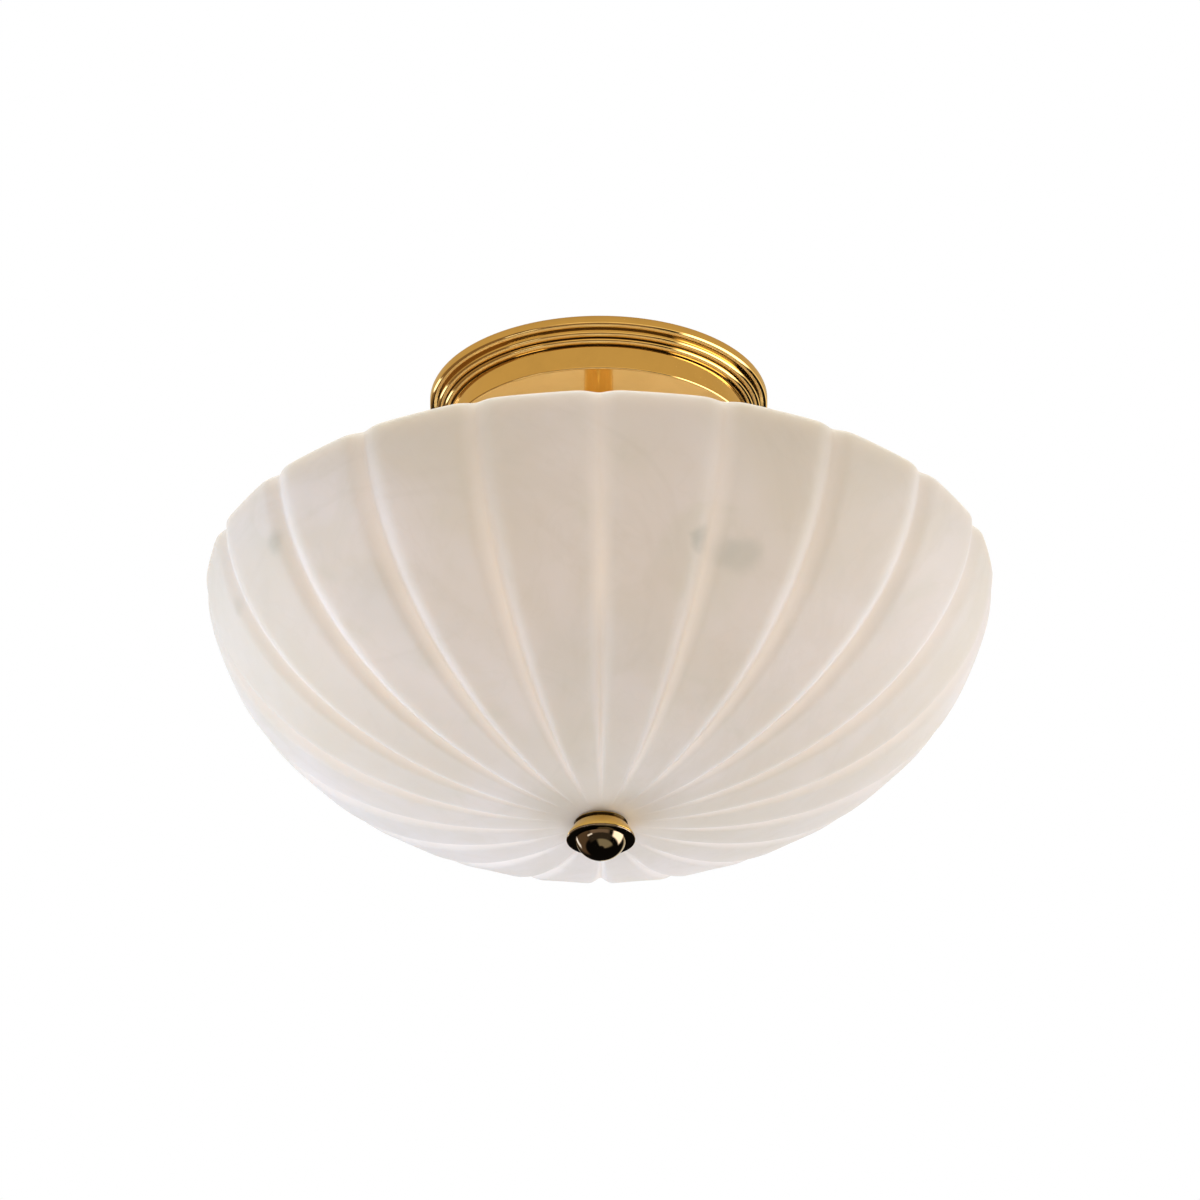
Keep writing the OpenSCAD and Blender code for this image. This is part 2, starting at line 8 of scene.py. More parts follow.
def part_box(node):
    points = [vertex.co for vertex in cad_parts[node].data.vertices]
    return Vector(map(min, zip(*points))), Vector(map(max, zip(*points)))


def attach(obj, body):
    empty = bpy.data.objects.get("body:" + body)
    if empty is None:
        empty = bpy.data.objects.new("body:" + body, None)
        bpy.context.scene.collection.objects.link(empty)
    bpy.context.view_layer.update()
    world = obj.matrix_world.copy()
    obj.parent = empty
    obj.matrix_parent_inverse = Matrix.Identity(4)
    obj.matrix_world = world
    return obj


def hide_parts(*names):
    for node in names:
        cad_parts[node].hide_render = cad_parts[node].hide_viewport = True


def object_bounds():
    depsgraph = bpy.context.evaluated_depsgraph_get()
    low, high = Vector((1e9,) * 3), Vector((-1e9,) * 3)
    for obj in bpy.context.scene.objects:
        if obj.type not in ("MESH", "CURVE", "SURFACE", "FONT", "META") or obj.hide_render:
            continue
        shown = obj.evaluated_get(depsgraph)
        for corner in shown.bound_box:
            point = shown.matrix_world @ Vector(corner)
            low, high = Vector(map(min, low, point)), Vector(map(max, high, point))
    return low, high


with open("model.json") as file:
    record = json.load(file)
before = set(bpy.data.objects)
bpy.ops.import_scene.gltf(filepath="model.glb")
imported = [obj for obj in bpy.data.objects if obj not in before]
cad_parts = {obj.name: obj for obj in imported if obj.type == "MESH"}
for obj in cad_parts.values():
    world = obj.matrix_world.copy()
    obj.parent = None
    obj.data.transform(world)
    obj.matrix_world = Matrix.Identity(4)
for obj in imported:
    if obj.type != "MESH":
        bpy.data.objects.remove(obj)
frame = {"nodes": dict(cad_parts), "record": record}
cad_low, cad_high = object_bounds()
scene = bpy.context.scene

MM = 0.001
WHITE = (1.0, 1.0, 1.0, 1)


def top_of(node):
    """Height of a node's highest point."""
    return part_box(node)[1].z


def low_of(node):
    """Height of a node's lowest point."""
    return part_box(node)[0].z


def radius_of(node):
    """Half of a turned node's width."""
    low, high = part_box(node)
    return (high.x - low.x) / 2


# Camera, fitted to the photograph: distance and angles from the middle of the bowl's rim
RIM_Z = top_of("bowl")
CAMERA_DISTANCE = 4872 * MM
CAMERA_FALL = math.radians(28.31)
CAMERA_PITCH = math.radians(-0.111)
CAMERA_YAW = math.radians(0.002)
CAMERA_ROLL = math.radians(-0.283)
FOCAL_PX = 9439
PHOTO_PX = 1200
SENSOR_MM = 36
SIGHT_END_M = 100


def make_camera():
    """The photograph's camera, in front of the light and below it."""
    rise = CAMERA_FALL + CAMERA_PITCH
    level = math.cos(rise)
    forward = Vector((math.sin(CAMERA_YAW) * level, math.cos(CAMERA_YAW) * level, math.sin(rise)))
    right = forward.cross(Vector((0, 0, 1))).normalized()
    up = right.cross(forward)
    turned_right = right * math.cos(CAMERA_ROLL) + up * math.sin(CAMERA_ROLL)
    turned_up = up * math.cos(CAMERA_ROLL) - right * math.sin(CAMERA_ROLL)
    data = bpy.data.cameras.new("camera")
    data.sensor_width = SENSOR_MM
    data.lens = FOCAL_PX * SENSOR_MM / PHOTO_PX
    data.clip_end = SIGHT_END_M
    camera = bpy.data.objects.new("camera", data)
    scene.collection.objects.link(camera)
    rotation = Matrix((turned_right, turned_up, -forward)).transposed()
    place = Vector((0, -math.cos(CAMERA_FALL), -math.sin(CAMERA_FALL))) * CAMERA_DISTANCE
    place.z += RIM_Z
    camera.matrix_world = Matrix.Translation(place) @ rotation.to_4x4()
    scene.camera = camera


make_camera()


# Node helpers
def srgb(red, green, blue):
    """A linear colour with alpha from 0 to 255 display values, by the display standard's own constants."""
    def linear(value):
        share = value / 255
        return share / 12.92 if share <= 0.04045 else ((share + 0.055) / 1.055) ** 2.4
    return (linear(red), linear(green), linear(blue), 1)


def scaled(colour, share):
    """The same colour, darker or lighter."""
    return tuple(share * value for value in colour[:3]) + (1,)


def new_material(name):
    material = bpy.data.materials.new(name)
    material.use_nodes = True
    tree = material.node_tree
    return material, tree, tree.nodes["Principled BSDF"]


def feed(tree, node, inputs):
    """Links or sets a node's inputs."""
    for key, value in inputs.items():
        if isinstance(value, bpy.types.NodeSocket):
            tree.links.new(value, node.inputs[key])
        else:
            node.inputs[key].default_value = value
    return node


def add(tree, kind, inputs=None, **settings):
    node = tree.nodes.new(kind)
    for key, value in settings.items():
        setattr(node, key, value)
    return feed(tree, node, inputs or {})


def place_in(tree):
    """The point of the surface in the frame's own metres."""
    return add(tree, "ShaderNodeTexCoord").outputs["Object"]


def cloud(tree, place, scale, detail=2, roughness=0.5, distortion=0.0):
    """A soft noise from 0 to 1."""
    inputs = {"Vector": place, "Scale": scale, "Detail": detail,
              "Roughness": roughness, "Distortion": distortion}
    return add(tree, "ShaderNodeTexNoise", inputs).outputs["Fac"]


def between(tree, value, low, high, to_low=0.0, to_high=1.0):
    """Smooth step of a value from one range to another."""
    inputs = {"Value": value, "From Min": low, "From Max": high, "To Min": to_low, "To Max": to_high}
    return add(tree, "ShaderNodeMapRange", inputs, interpolation_type="SMOOTHSTEP").outputs["Result"]


def uneven(tree, place, scale, to_low, to_high, detail=2):
    """A value that drifts between two others in soft patches."""
    return between(tree, cloud(tree, place, scale, detail), 0.3, 0.7, to_low, to_high)


def sums(tree, operation, first, second=0.0):
    return add(tree, "ShaderNodeMath", {0: first, 1: second}, operation=operation).outputs[0]


def vectors(tree, operation, first, second):
    return add(tree, "ShaderNodeVectorMath", {0: first, 1: second}, operation=operation)


def mixed(tree, factor, first, second):
    """A mix of two colours."""
    node = add(tree, "ShaderNodeMix", data_type="RGBA")
    feed(tree, node, {0: factor, 6: first, 7: second})
    return node.outputs[2]


def bumped(tree, height, distance, strength):
    inputs = {"Height": height, "Distance": distance, "Strength": strength}
    return add(tree, "ShaderNodeBump", inputs).outputs["Normal"]


# Tones of the stone
STONE = srgb(215, 205, 192)
STONE_PALE = srgb(220, 210, 201)
STONE_WARM = srgb(213, 202, 186)
STONE_GREY = srgb(209, 201, 185)
STONE_VEIN = srgb(203, 192, 176)
# Painted light: the grooves' paler tone stands for light coming through the thinner stone and lifts the shade
# in their creases
STONE_PAINTED_GROOVE_LIGHT = srgb(239, 230, 222)
STONE_SPOT = srgb(177, 174, 160)
# Layers of tone over the warm one: the cloud's scale, detail, roughness and distortion, the range of
# the cloud over which the layer comes in, its full share and its tone
STONE_LAYERS = (
    ((7, 3, 0.55, 0.6), (0.36, 0.66), 1.0, STONE_PALE),
    ((16, 4, 0.6, 1.2), (0.46, 0.72), 0.7, STONE),
    ((22, 3, 0.5, 0.8), (0.56, 0.78), 0.5, STONE_GREY),
)
# Faint veins along the middle value of a cloud: the cloud's scale, the vein's half width and its share
STONE_VEINS = ((5.5, 0.034, 0.12), (13, 0.026, 0.08))
CLOUD_MIDDLE = 0.5
# Soft grey-green spots in the stone: point of the outside (x, y, z) and radius in mm, and strength
SPOTS = (
    (50.5, -170, -172, 6, 0.5),
    (50.5, -166.5, -175.5, 6, 0.5),
    (62, -163, -178, 10, 0.28),
    (72, -158, -179, 13, 0.32),
    (-164, -107, -142, 9, 0.4),
    (-183, -54, -150, 8, 0.25),
    (-110, -127, -186, 28, 0.14),
    (-90, -116, -203, 24, 0.10),
    (141, -101, -174, 26, 0.10),
    (120, 140, -170, 24, 0.25),
    (-95, 165, -160, 20, 0.25),
)
# A spot is full in this share of its radius, and a noise of this scale makes its edge ragged by this much
SPOT_CORE = 0.25
SPOT_EDGE_SCALE = 60
SPOT_PUSH = 10 * MM
# Height of the stone's fine grain beside its broad ripple
GRAIN_HEIGHT = 0.04


def alabaster():
    """Pale stone with soft layers of tone, faint veins and spots, and painted light in its grooves."""
    material, tree, shader = new_material("alabaster")
    place = place_in(tree)
    colour = STONE_WARM
    for shape, (low, high), share, tone in STONE_LAYERS:
        layer = between(tree, cloud(tree, place, *shape), low, high, 0.0, share)
        colour = mixed(tree, layer, colour, tone)
    for scale, half_width, share in STONE_VEINS:
        field = cloud(tree, place, scale, detail=6, roughness=0.55, distortion=1.6)
        ridge = sums(tree, "ABSOLUTE", sums(tree, "SUBTRACT", field, CLOUD_MIDDLE))
        colour = mixed(tree, between(tree, ridge, 0.0, half_width, share, 0.0), colour, STONE_VEIN)
    ragged = add(tree, "ShaderNodeTexNoise", {"Vector": place, "Scale": SPOT_EDGE_SCALE, "Detail": 3.0})
    pushed = vectors(tree, "SUBTRACT", ragged.outputs["Color"], (CLOUD_MIDDLE,) * 3)
    pushed = add(tree, "ShaderNodeVectorMath", {0: pushed.outputs[0], "Scale": SPOT_PUSH}, operation="SCALE")
    ragged_place = vectors(tree, "ADD", place, pushed.outputs[0]).outputs[0]
    for x, y, z, radius, strength in SPOTS:
        away = vectors(tree, "DISTANCE", ragged_place, (x * MM, y * MM, z * MM)).outputs["Value"]
        spot = between(tree, away, radius * SPOT_CORE * MM, radius * MM, strength, 0.0)
        colour = mixed(tree, spot, colour, STONE_SPOT)
    # Painted light: the grooves are painted paler, for light through the thinner stone and against the shade in
    # their creases
    groove = add(tree, "ShaderNodeAttribute", attribute_name="groove").outputs["Fac"]
    colour = mixed(tree, groove, colour, STONE_PAINTED_GROOVE_LIGHT)
    grain = cloud(tree, place, 900, roughness=0.6)
    ripple = cloud(tree, place, 30, detail=3)
    height = sums(tree, "ADD", sums(tree, "MULTIPLY", grain, GRAIN_HEIGHT), ripple)
    feed(tree, shader, {
        "Base Color": colour,
        "Roughness": uneven(tree, place, 40, 0.44, 0.54, detail=3),
        "Normal": bumped(tree, height, 0.6 * MM, 0.5),
        "Specular IOR Level": 0.1,
        "Subsurface Weight": 0.7,
        "Subsurface Radius": (1.0, 0.9, 0.8),
        "Subsurface Scale": 0.016,
    })
    return material


# Tone of painted shade, near black, that darkens metal in corners where shade falls, and what is left of its
# own tone where it is worn
PAINTED_SHADE_TONE = (0.022, 0.014, 0.008, 1)
WORN_TONE = 0.86
# How much finer the polishing marks are than the worn patches
MARK_FINENESS = 9


def metal(name, colour, roughness, wear, marks, scale=60.0):
    """Polished or brushed metal: its roughness varies in soft patches, with faint polishing marks."""
    material, tree, shader = new_material(name)
    place = place_in(tree)
    patch = cloud(tree, place, scale, detail=4, roughness=0.6, distortion=0.3)
    mark = cloud(tree, place, scale * MARK_FINENESS)
    worn = between(tree, patch, 0.35, 0.7, to_high=0.35)
    tone = mixed(tree, worn, colour, scaled(colour, WORN_TONE))
    # Painted shade: an attribute on the mesh darkens the metal to near black in corners where shade falls
    painted_shade = add(tree, "ShaderNodeAttribute", attribute_name="painted_shade").outputs["Fac"]
    tone = mixed(tree, painted_shade, tone, PAINTED_SHADE_TONE)
    feed(tree, shader, {
        "Base Color": tone,
        "Metallic": 1.0,
        "Roughness": between(tree, patch, 0.3, 0.75, roughness, roughness + wear),
        "Normal": bumped(tree, mark, 0.02 * MM, marks),
    })
    return material


def porcelain():
    material, tree, shader = new_material("porcelain")
    place = place_in(tree)
    feed(tree, shader, {
        "Base Color": mixed(tree, cloud(tree, place, 45, detail=3), srgb(240, 236, 226), srgb(229, 224, 212)),
        "Roughness": uneven(tree, place, 90, 0.12, 0.24),
        "Normal": bumped(tree, cloud(tree, place, 240), 0.1 * MM, 0.25),
        "Subsurface Weight": 0.08,
        "Subsurface Radius": (1.0, 0.9, 0.8),
        "Subsurface Scale": 0.004,
    })
    return material


def frosted_glass():
    material, tree, shader = new_material("frosted_glass")
    place = place_in(tree)
    feed(tree, shader, {
        "Base Color": mixed(tree, cloud(tree, place, 70, detail=3), srgb(247, 246, 242), srgb(238, 237, 232)),
        "Roughness": uneven(tree, place, 300, 0.28, 0.4),
        "Subsurface Weight": 0.3,
        "Subsurface Radius": (1.0, 0.97, 0.93),
        "Subsurface Scale": 0.004,
        "IOR": 1.5,
    })
    return material


# How much lighter the patches of rubber are
PATCH_TONE = 1.5


def moulded(name, colour, roughness):
    """Rubber or dark glass, with a fine uneven skin and lighter patches."""
    material, tree, shader = new_material(name)
    place = place_in(tree)
    patch = cloud(tree, place, 220, detail=3, roughness=0.6)
    feed(tree, shader, {
        "Base Color": mixed(tree, patch, colour, scaled(colour, PATCH_TONE)),
        "Roughness": uneven(tree, place, 400, roughness, roughness + 0.12),
        "Normal": bumped(tree, cloud(tree, place, 1500), 0.05 * MM, 0.4),
    })
    return material


def painted_screw():
    """Green paint, worn through to the metal in small spots."""
    material, tree, shader = new_material("earth_screw")
    place = place_in(tree)
    worn = between(tree, cloud(tree, place, 500, detail=3, roughness=0.6), 0.62, 0.72)
    feed(tree, shader, {
        "Base Color": mixed(tree, worn, srgb(44, 130, 74), srgb(170, 172, 170)),
        "Metallic": 0.8,
        "Roughness": uneven(tree, place, 300, 0.3, 0.45),
    })
    return material


BRASS = (0.88, 0.60, 0.22, 1)
GOLD_BRASS = (0.93, 0.63, 0.17, 1)
# The knob's dark brass: a dark finish, darkened to stand in for the dark surroundings its polish reflects,
# which is painted reflection
PAINTED_DARK_BRASS = (0.30, 0.24, 0.17, 1)
PLAIN_BRASS = (0.80, 0.56, 0.22, 1)
ZINC = srgb(196, 199, 203)
NICKEL = srgb(205, 201, 193)
BLACK_GLASS = (0.02, 0.02, 0.022, 1)
RUBBER = (0.035, 0.028, 0.022, 1)
MATERIALS = {
    "polished_brass": metal("polished_brass", BRASS, roughness=0.05, wear=0.05, marks=0.10),
    "finial_brass": metal("finial_brass", GOLD_BRASS, roughness=0.07, wear=0.05, marks=0.03),
    "finial_dark": metal("finial_dark", PAINTED_DARK_BRASS, roughness=0.05, wear=0.04, marks=0.08),
    "alabaster": alabaster(),
    "zinc_steel": metal("zinc_steel", ZINC, roughness=0.30, wear=0.14, marks=0.5, scale=120.0),
    "studs": metal("studs", PLAIN_BRASS, roughness=0.22, wear=0.10, marks=0.3, scale=160.0),
    "contact_brass": metal("contact_brass", PLAIN_BRASS, roughness=0.25, wear=0.10, marks=0.3, scale=160.0),
    "nickel": metal("nickel", NICKEL, roughness=0.18, wear=0.12, marks=0.3, scale=140.0),
    "earth_screw": painted_screw(),
    "porcelain": porcelain(),
    "frosted_glass": frosted_glass(),
    "tip_glass": moulded("tip_glass", BLACK_GLASS, roughness=0.15),
    "gasket": moulded("gasket", RUBBER, roughness=0.6),
}
SLOT_OF = {part["node"]: part["material_slot"] for part in frame["record"]["subparts"]}
BODY_OF = {node: body for body, nodes in frame["record"]["behaviour"]["bodies"].items() for node in nodes}

for node, thing in frame["nodes"].items():
    thing.data.materials.clear()
    thing.data.materials.append(MATERIALS[SLOT_OF[node]])


# Shape helpers
def shown(name, points, faces, node, turn=None, sharp=32):
    """A smooth mesh piece that stands for a CAD node and rides on that node's body.

    Edges whose faces meet at more than the angle sharp, in degrees, stay sharp.
    """
    mesh = bpy.data.meshes.new(name)
    mesh.from_pydata([tuple(p) for p in points], [], faces)
    mesh.transform(turn or Matrix.Identity(4))
    mesh.validate()
    mesh.polygons.foreach_set("use_smooth", [True] * len(mesh.polygons))
    mesh.set_sharp_from_angle(angle=math.radians(sharp))
    mesh.update()
    mesh.materials.append(MATERIALS[SLOT_OF[node]])
    piece = bpy.data.objects.new(name, mesh)
    scene.collection.objects.link(piece)
    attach(piece, BODY_OF[node])
    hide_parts(node)
    return piece


def skinned(name, rings, node, closed=True, turn=None, sharp=32):
    """Joins rings of points, each as long as the next or a single pole.

    The rings of the outside come from the bottom up.
    """
    steps = max(len(ring) for ring in rings)
    points, rows, faces = [], [], []
    for ring in rings:
        first = len(points)
        rows.append([first + k if len(ring) > 1 else first for k in range(steps)])
        points.extend(ring)
    for low, high in zip(rows, rows[1:] + (rows[:1] if closed else [])):
        for k in range(steps):
            n = (k + 1) % steps
            face = [low[k], low[n], high[n], high[k]]
            face = [v for i, v in enumerate(face) if v != face[i - 1]]
            if len(face) > 2:
                faces.append(face)
    return shown(name, points, faces, node, turn, sharp)


# A radius below this is a pole
POLE_R = 1e-7


def ring_of(radius, height, steps, centre=(0, 0)):
    """A circle of points, or one point where the radius is nothing."""
    if radius < POLE_R:
        return [(centre[0], centre[1], height)]
    angles = [2 * math.pi * k / steps for k in range(steps)]
    return [(centre[0] + radius * math.cos(a), centre[1] + radius * math.sin(a), height) for a in angles]


# The rounding of a corner takes up to this share of the edges beside it
CORNER_SHARE = 0.49


def rounded(corners, closed=True, steps=6):
    """Outline through corners given as (radius, height, rounding), each rounded by an arc."""
    points = []
    for i, (x, z, rounding) in enumerate(corners):
        corner = Vector((x, z))
        if rounding == 0 or (not closed and i in (0, len(corners) - 1)):
            points.append((x, z))
            continue
        before = Vector(corners[i - 1][:2]) - corner
        after = Vector(corners[(i + 1) % len(corners)][:2]) - corner
        half = before.angle(after) / 2
        reach = min(rounding / math.tan(half), CORNER_SHARE * before.length, CORNER_SHARE * after.length)
        before.normalize()
        after.normalize()
        centre = corner + (before + after).normalized() * reach / math.cos(half)
        start = corner + before * reach - centre
        end = corner + after * reach - centre
        swing = math.atan2(start.x * end.y - start.y * end.x, start.dot(end))
        for k in range(steps + 1):
            a = swing * k / steps
            points.append((centre.x + start.x * math.cos(a) - start.y * math.sin(a),
                           centre.y + start.x * math.sin(a) + start.y * math.cos(a)))
    return points


def rounded_edge(face, low, wide, tall, steps):
    """Points up a rounded lower edge, from its underside out to its face."""
    angles = [math.radians(90 * (1 - k / steps)) for k in range(steps + 1)]
    return [(face - wide * (1 - math.cos(a)), low + tall * (1 - math.sin(a))) for a in angles]


def turned(name, outline, node, closed=True, steps=96, turn=None, sharp=32):
    """A shape turned round +Z from an outline of (radius, height)."""
    rings = [ring_of(radius, height, steps) for radius, height in outline]
    return skinned(name, rings, node, closed, turn, sharp)


# How far the plain ends of a thread are turned down, as a share of its depth
PLAIN_CUT = 0.6


def threaded(name, node, radius, bore, low, high, pitch, depth, turn=None, steps=36, rows=6, plain=None):
    """A rod or tube with a rolled screw thread, whose ends are plain for a length."""
    plain = plain or pitch
    count = round((high - low) / pitch * rows)
    rings = []
    for i in range(count + 1):
        z = low + (high - low) * i / count
        share = min(1, max(0, (z - low - plain) / pitch), max(0, (high - plain - z) / pitch))
        ring = []
        for k in range(steps):
            a = 2 * math.pi * k / steps
            cut = depth * (0.5 + 0.5 * math.cos(2 * math.pi * z / pitch - a))
            r = radius - cut * share - depth * (1 - share) * PLAIN_CUT
            ring.append((r * math.cos(a), r * math.sin(a), z))
        rings.append(ring)
    rings += [ring_of(bore, high, steps), ring_of(bore, low, steps)]
    return skinned(name, rings, node, turn=turn, sharp=50)


# A nut's chamfer: its height as a share of the nut's, and its end's radius as a share of half the flats
CHAMFER_H = 0.12
CHAMFER_R = 0.985
NUT_STEPS = 96


def nut(name, node, flats, hole, low, high, centre=(0, 0)):
    """A hex nut with turned chamfers on both faces and corners at 0, 60 and 120 degrees, as in the CAD."""
    half = flats / 2
    corner = half / math.cos(math.pi / 6)
    end = half * CHAMFER_R
    cut = (high - low) * CHAMFER_H
    rings = []
    for z, limit in ((low, end), (low + cut, corner), (high - cut, corner), (high, end)):
        ring = []
        for k in range(NUT_STEPS):
            a = 2 * math.pi * k / NUT_STEPS
            off = (a + math.pi / 6) % (math.pi / 3) - math.pi / 6
            r = min(half / math.cos(math.pi / 6 - abs(off)), limit)
            ring.append((centre[0] + r * math.cos(a), centre[1] + r * math.sin(a), z))
        rings.append(ring)
    rings += [ring_of(hole, high, NUT_STEPS, centre), ring_of(hole, low, NUT_STEPS, centre)]
    return skinned(name, rings, node, sharp=28)


def painted(piece, name, values):
    """Gives a mesh piece a value at each point, which its material reads."""
    attribute = piece.data.attributes.new(name, "FLOAT", "POINT")
    attribute.data.foreach_set("value", values)


# Canopy: band, three stepped mouldings with rounded lower edges, and mirror plate
PLATE_Z = low_of("canopy")
BAND_R = 79.5 * MM
BAND_TAPER = 1.5 * MM
CANOPY_R = radius_of("canopy")
# Each moulding from the ceiling down: how far its face stands in from the canopy's widest, its lower edge,
# the height and width of its rounding, all in mm, and the painted shade in the corner under it, from 0 to 1
MOULDINGS = ((0, -5.8, 2.2, 2.1, 0.1), (3.5, -9.4, 1.8, 1.9, 0.8), (6.6, -11.9, 1.8, 2.0, 0.9))
# How far the painted shade goes down from a corner, and out along the ledge, where it ends and where it has
# faded
PAINTED_SHADE_DROP = 0.12 * MM
PAINTED_SHADE_END = 0.4
PAINTED_SHADE_FADED = 0.6
CANOPY_WALL = 1.2 * MM
LIP_W = 7 * MM
PLATE_EDGE_R = 1 * MM
STEM_HOLE_R = 10.6 * MM
TOP_EDGE = 0.5 * MM
TOP_EDGE_MIDDLE = 0.15 * MM
INSIDE_R = 0.3 * MM
PLATE_EDGE_STEPS = 8
MOULDING_STEPS = 16
CANOPY_STEPS = 288


def canopy_outline():
    """Outer outline from the plate's centre up to the ceiling, then the inside back down.

    Each point is a radius, a height and the share of painted shade there.
    """
    band_top_r = BAND_R - BAND_TAPER
    edge = rounded_edge(BAND_R, PLATE_Z, PLATE_EDGE_R, PLATE_EDGE_R, PLATE_EDGE_STEPS)
    points = [(STEM_HOLE_R, PLATE_Z, 0)] + [point + (0,) for point in edge]
    inner_face = band_top_r
    for inset, low_mm, tall, wide, painted_shade in reversed(MOULDINGS):
        face = CANOPY_R - inset * MM
        low = low_mm * MM
        ledge_end = face - wide * MM
        points.append((inner_face, low - 2 * PAINTED_SHADE_DROP, 0))
        points.append((inner_face, low - PAINTED_SHADE_DROP, painted_shade))
        points.append((inner_face, low, painted_shade))
        for share, tone in ((PAINTED_SHADE_END, painted_shade), (PAINTED_SHADE_FADED, 0)):
            points.append(((1 - share) * inner_face + share * ledge_end, low, tone))
        points += [point + (0,) for point in rounded_edge(face, low, wide * MM, tall * MM, MOULDING_STEPS)]
        inner_face = face
    points += [(CANOPY_R, -TOP_EDGE, 0), (CANOPY_R - TOP_EDGE_MIDDLE, -TOP_EDGE_MIDDLE, 0),
               (CANOPY_R - TOP_EDGE, 0, 0)]
    wall_r = CANOPY_R - 3 * CANOPY_WALL
    inner = [(CANOPY_R - LIP_W, 0, INSIDE_R), (CANOPY_R - LIP_W, -CANOPY_WALL, INSIDE_R),
             (wall_r, -CANOPY_WALL, INSIDE_R), (wall_r, MOULDINGS[0][1] * MM / 2, INSIDE_R),
             (band_top_r - CANOPY_WALL, MOULDINGS[2][1] * MM, 2 * INSIDE_R),
             (BAND_R - PLATE_EDGE_R - CANOPY_WALL, PLATE_Z + CANOPY_WALL, 2 * INSIDE_R),
             (STEM_HOLE_R, PLATE_Z + CANOPY_WALL, 0)]
    hidden = rounded([points[-1][:2] + (0,)] + inner, closed=False)[1:]
    return points + [point + (0,) for point in hidden]


outline = canopy_outline()
shell = turned("canopy_shell", [point[:2] for point in outline], "canopy", steps=CANOPY_STEPS, sharp=40)
# Painted shade: the corners under the mouldings are painted near black, where shade falls
painted(shell, "painted_shade", [share for r, z, share in outline for step in range(CANOPY_STEPS)])

# Guide ring of the stem, pressed into the plate
RING_R = 13 * MM
RING_NECK_R = 10.5 * MM
RING_HOLE_R = 8.03 * MM
RING_LOW = low_of("stem_ring")
RING_TOP = top_of("stem_ring")
turned("stem_guide_ring", rounded([
    (RING_HOLE_R, RING_LOW, 0.3 * MM), (RING_R, RING_LOW, 0.6 * MM), (RING_R, PLATE_Z, 0),
    (RING_NECK_R, PLATE_Z, 0), (RING_NECK_R, RING_TOP, 0.3 * MM), (RING_HOLE_R, RING_TOP, 0.3 * MM),
]), "stem_ring")

# Ball knobs on the canopy's studs
SIDES = ((-1, "left"), (1, "right"))
STUD_X = 60 * MM
STUD_R = 2.05 * MM
BALL_R = radius_of("knob_left")
BALL_STEPS = 24
BALL_NECK_ANGLE = math.radians(52)
BALL_NECK_R = 3.6 * MM
BALL_COLLAR_R = 6 * MM
BALL_COLLAR_T = 1.1 * MM
BALL_HOLE_R = STUD_R + 0.1 * MM
BALL_HOLE = 7 * MM


def ball_outline(low, top):
    """From the ball's pole up to its neck, round its collar and down the threaded hole."""
    centre = low + BALL_R
    points = [(0, low)]
    for k in range(1, BALL_STEPS + 1):
        a = -math.pi / 2 + (math.pi / 2 + BALL_NECK_ANGLE) * k / BALL_STEPS
        points.append((BALL_R * math.cos(a), centre + BALL_R * math.sin(a)))
    return points + rounded([
        points[-1] + (0,), (BALL_NECK_R, points[-1][1] + 0.3 * MM, 0.3 * MM),
        (BALL_NECK_R, top - 1.6 * MM, 0.5 * MM), (BALL_COLLAR_R, top - BALL_COLLAR_T, 0.4 * MM),
        (BALL_COLLAR_R, top, 0.15 * MM), (BALL_HOLE_R, top, 0.3 * MM),
        (BALL_HOLE_R, top - BALL_HOLE, 0), (0, top - BALL_HOLE, 0),
    ], closed=False)[1:]


for side, name in SIDES:
    node = f"knob_{name}"
    turned(f"{node}_ball", ball_outline(low_of(node), top_of(node)), node, closed=False,
           turn=Matrix.Translation((side * STUD_X, 0, 0)), steps=64)

# Stem, hub and its cap
STEM_R = radius_of("stem")
STEM_BORE = 4.9 * MM
turned("stem_tube", rounded([
    (STEM_BORE, low_of("stem"), 0.2 * MM), (STEM_R, low_of("stem"), 0.5 * MM),
    (STEM_R, top_of("stem"), 0.5 * MM), (STEM_BORE, top_of("stem"), 0.2 * MM),
]), "stem", steps=128)

HUB_R = radius_of("socket_hub")
HUB_TOP = top_of("socket_hub")
HUB_LOW = low_of("socket_hub")
CAP_TOP = top_of("hub_cap")
HUB_CAP_TOP_R = STEM_R + 3 * MM
HUB_WALL = 1.6 * MM
HUB_FLOOR = HUB_LOW + 2 * HUB_WALL
# A turned line round the hub, and the small rounding of its edges
HUB_LINE = 0.5 * MM
HUB_EDGE = 0.2 * MM
DOME_STEPS = 14


def dome(wide_r, top):
    """Quarter of an ellipse on the hub, from its top down to its widest."""
    angles = [math.radians(90 * k / DOME_STEPS) for k in range(DOME_STEPS + 1)]
    return [(HUB_CAP_TOP_R + (wide_r - HUB_CAP_TOP_R) * math.sin(a), HUB_TOP + (top - HUB_TOP) * math.cos(a))
            for a in angles]


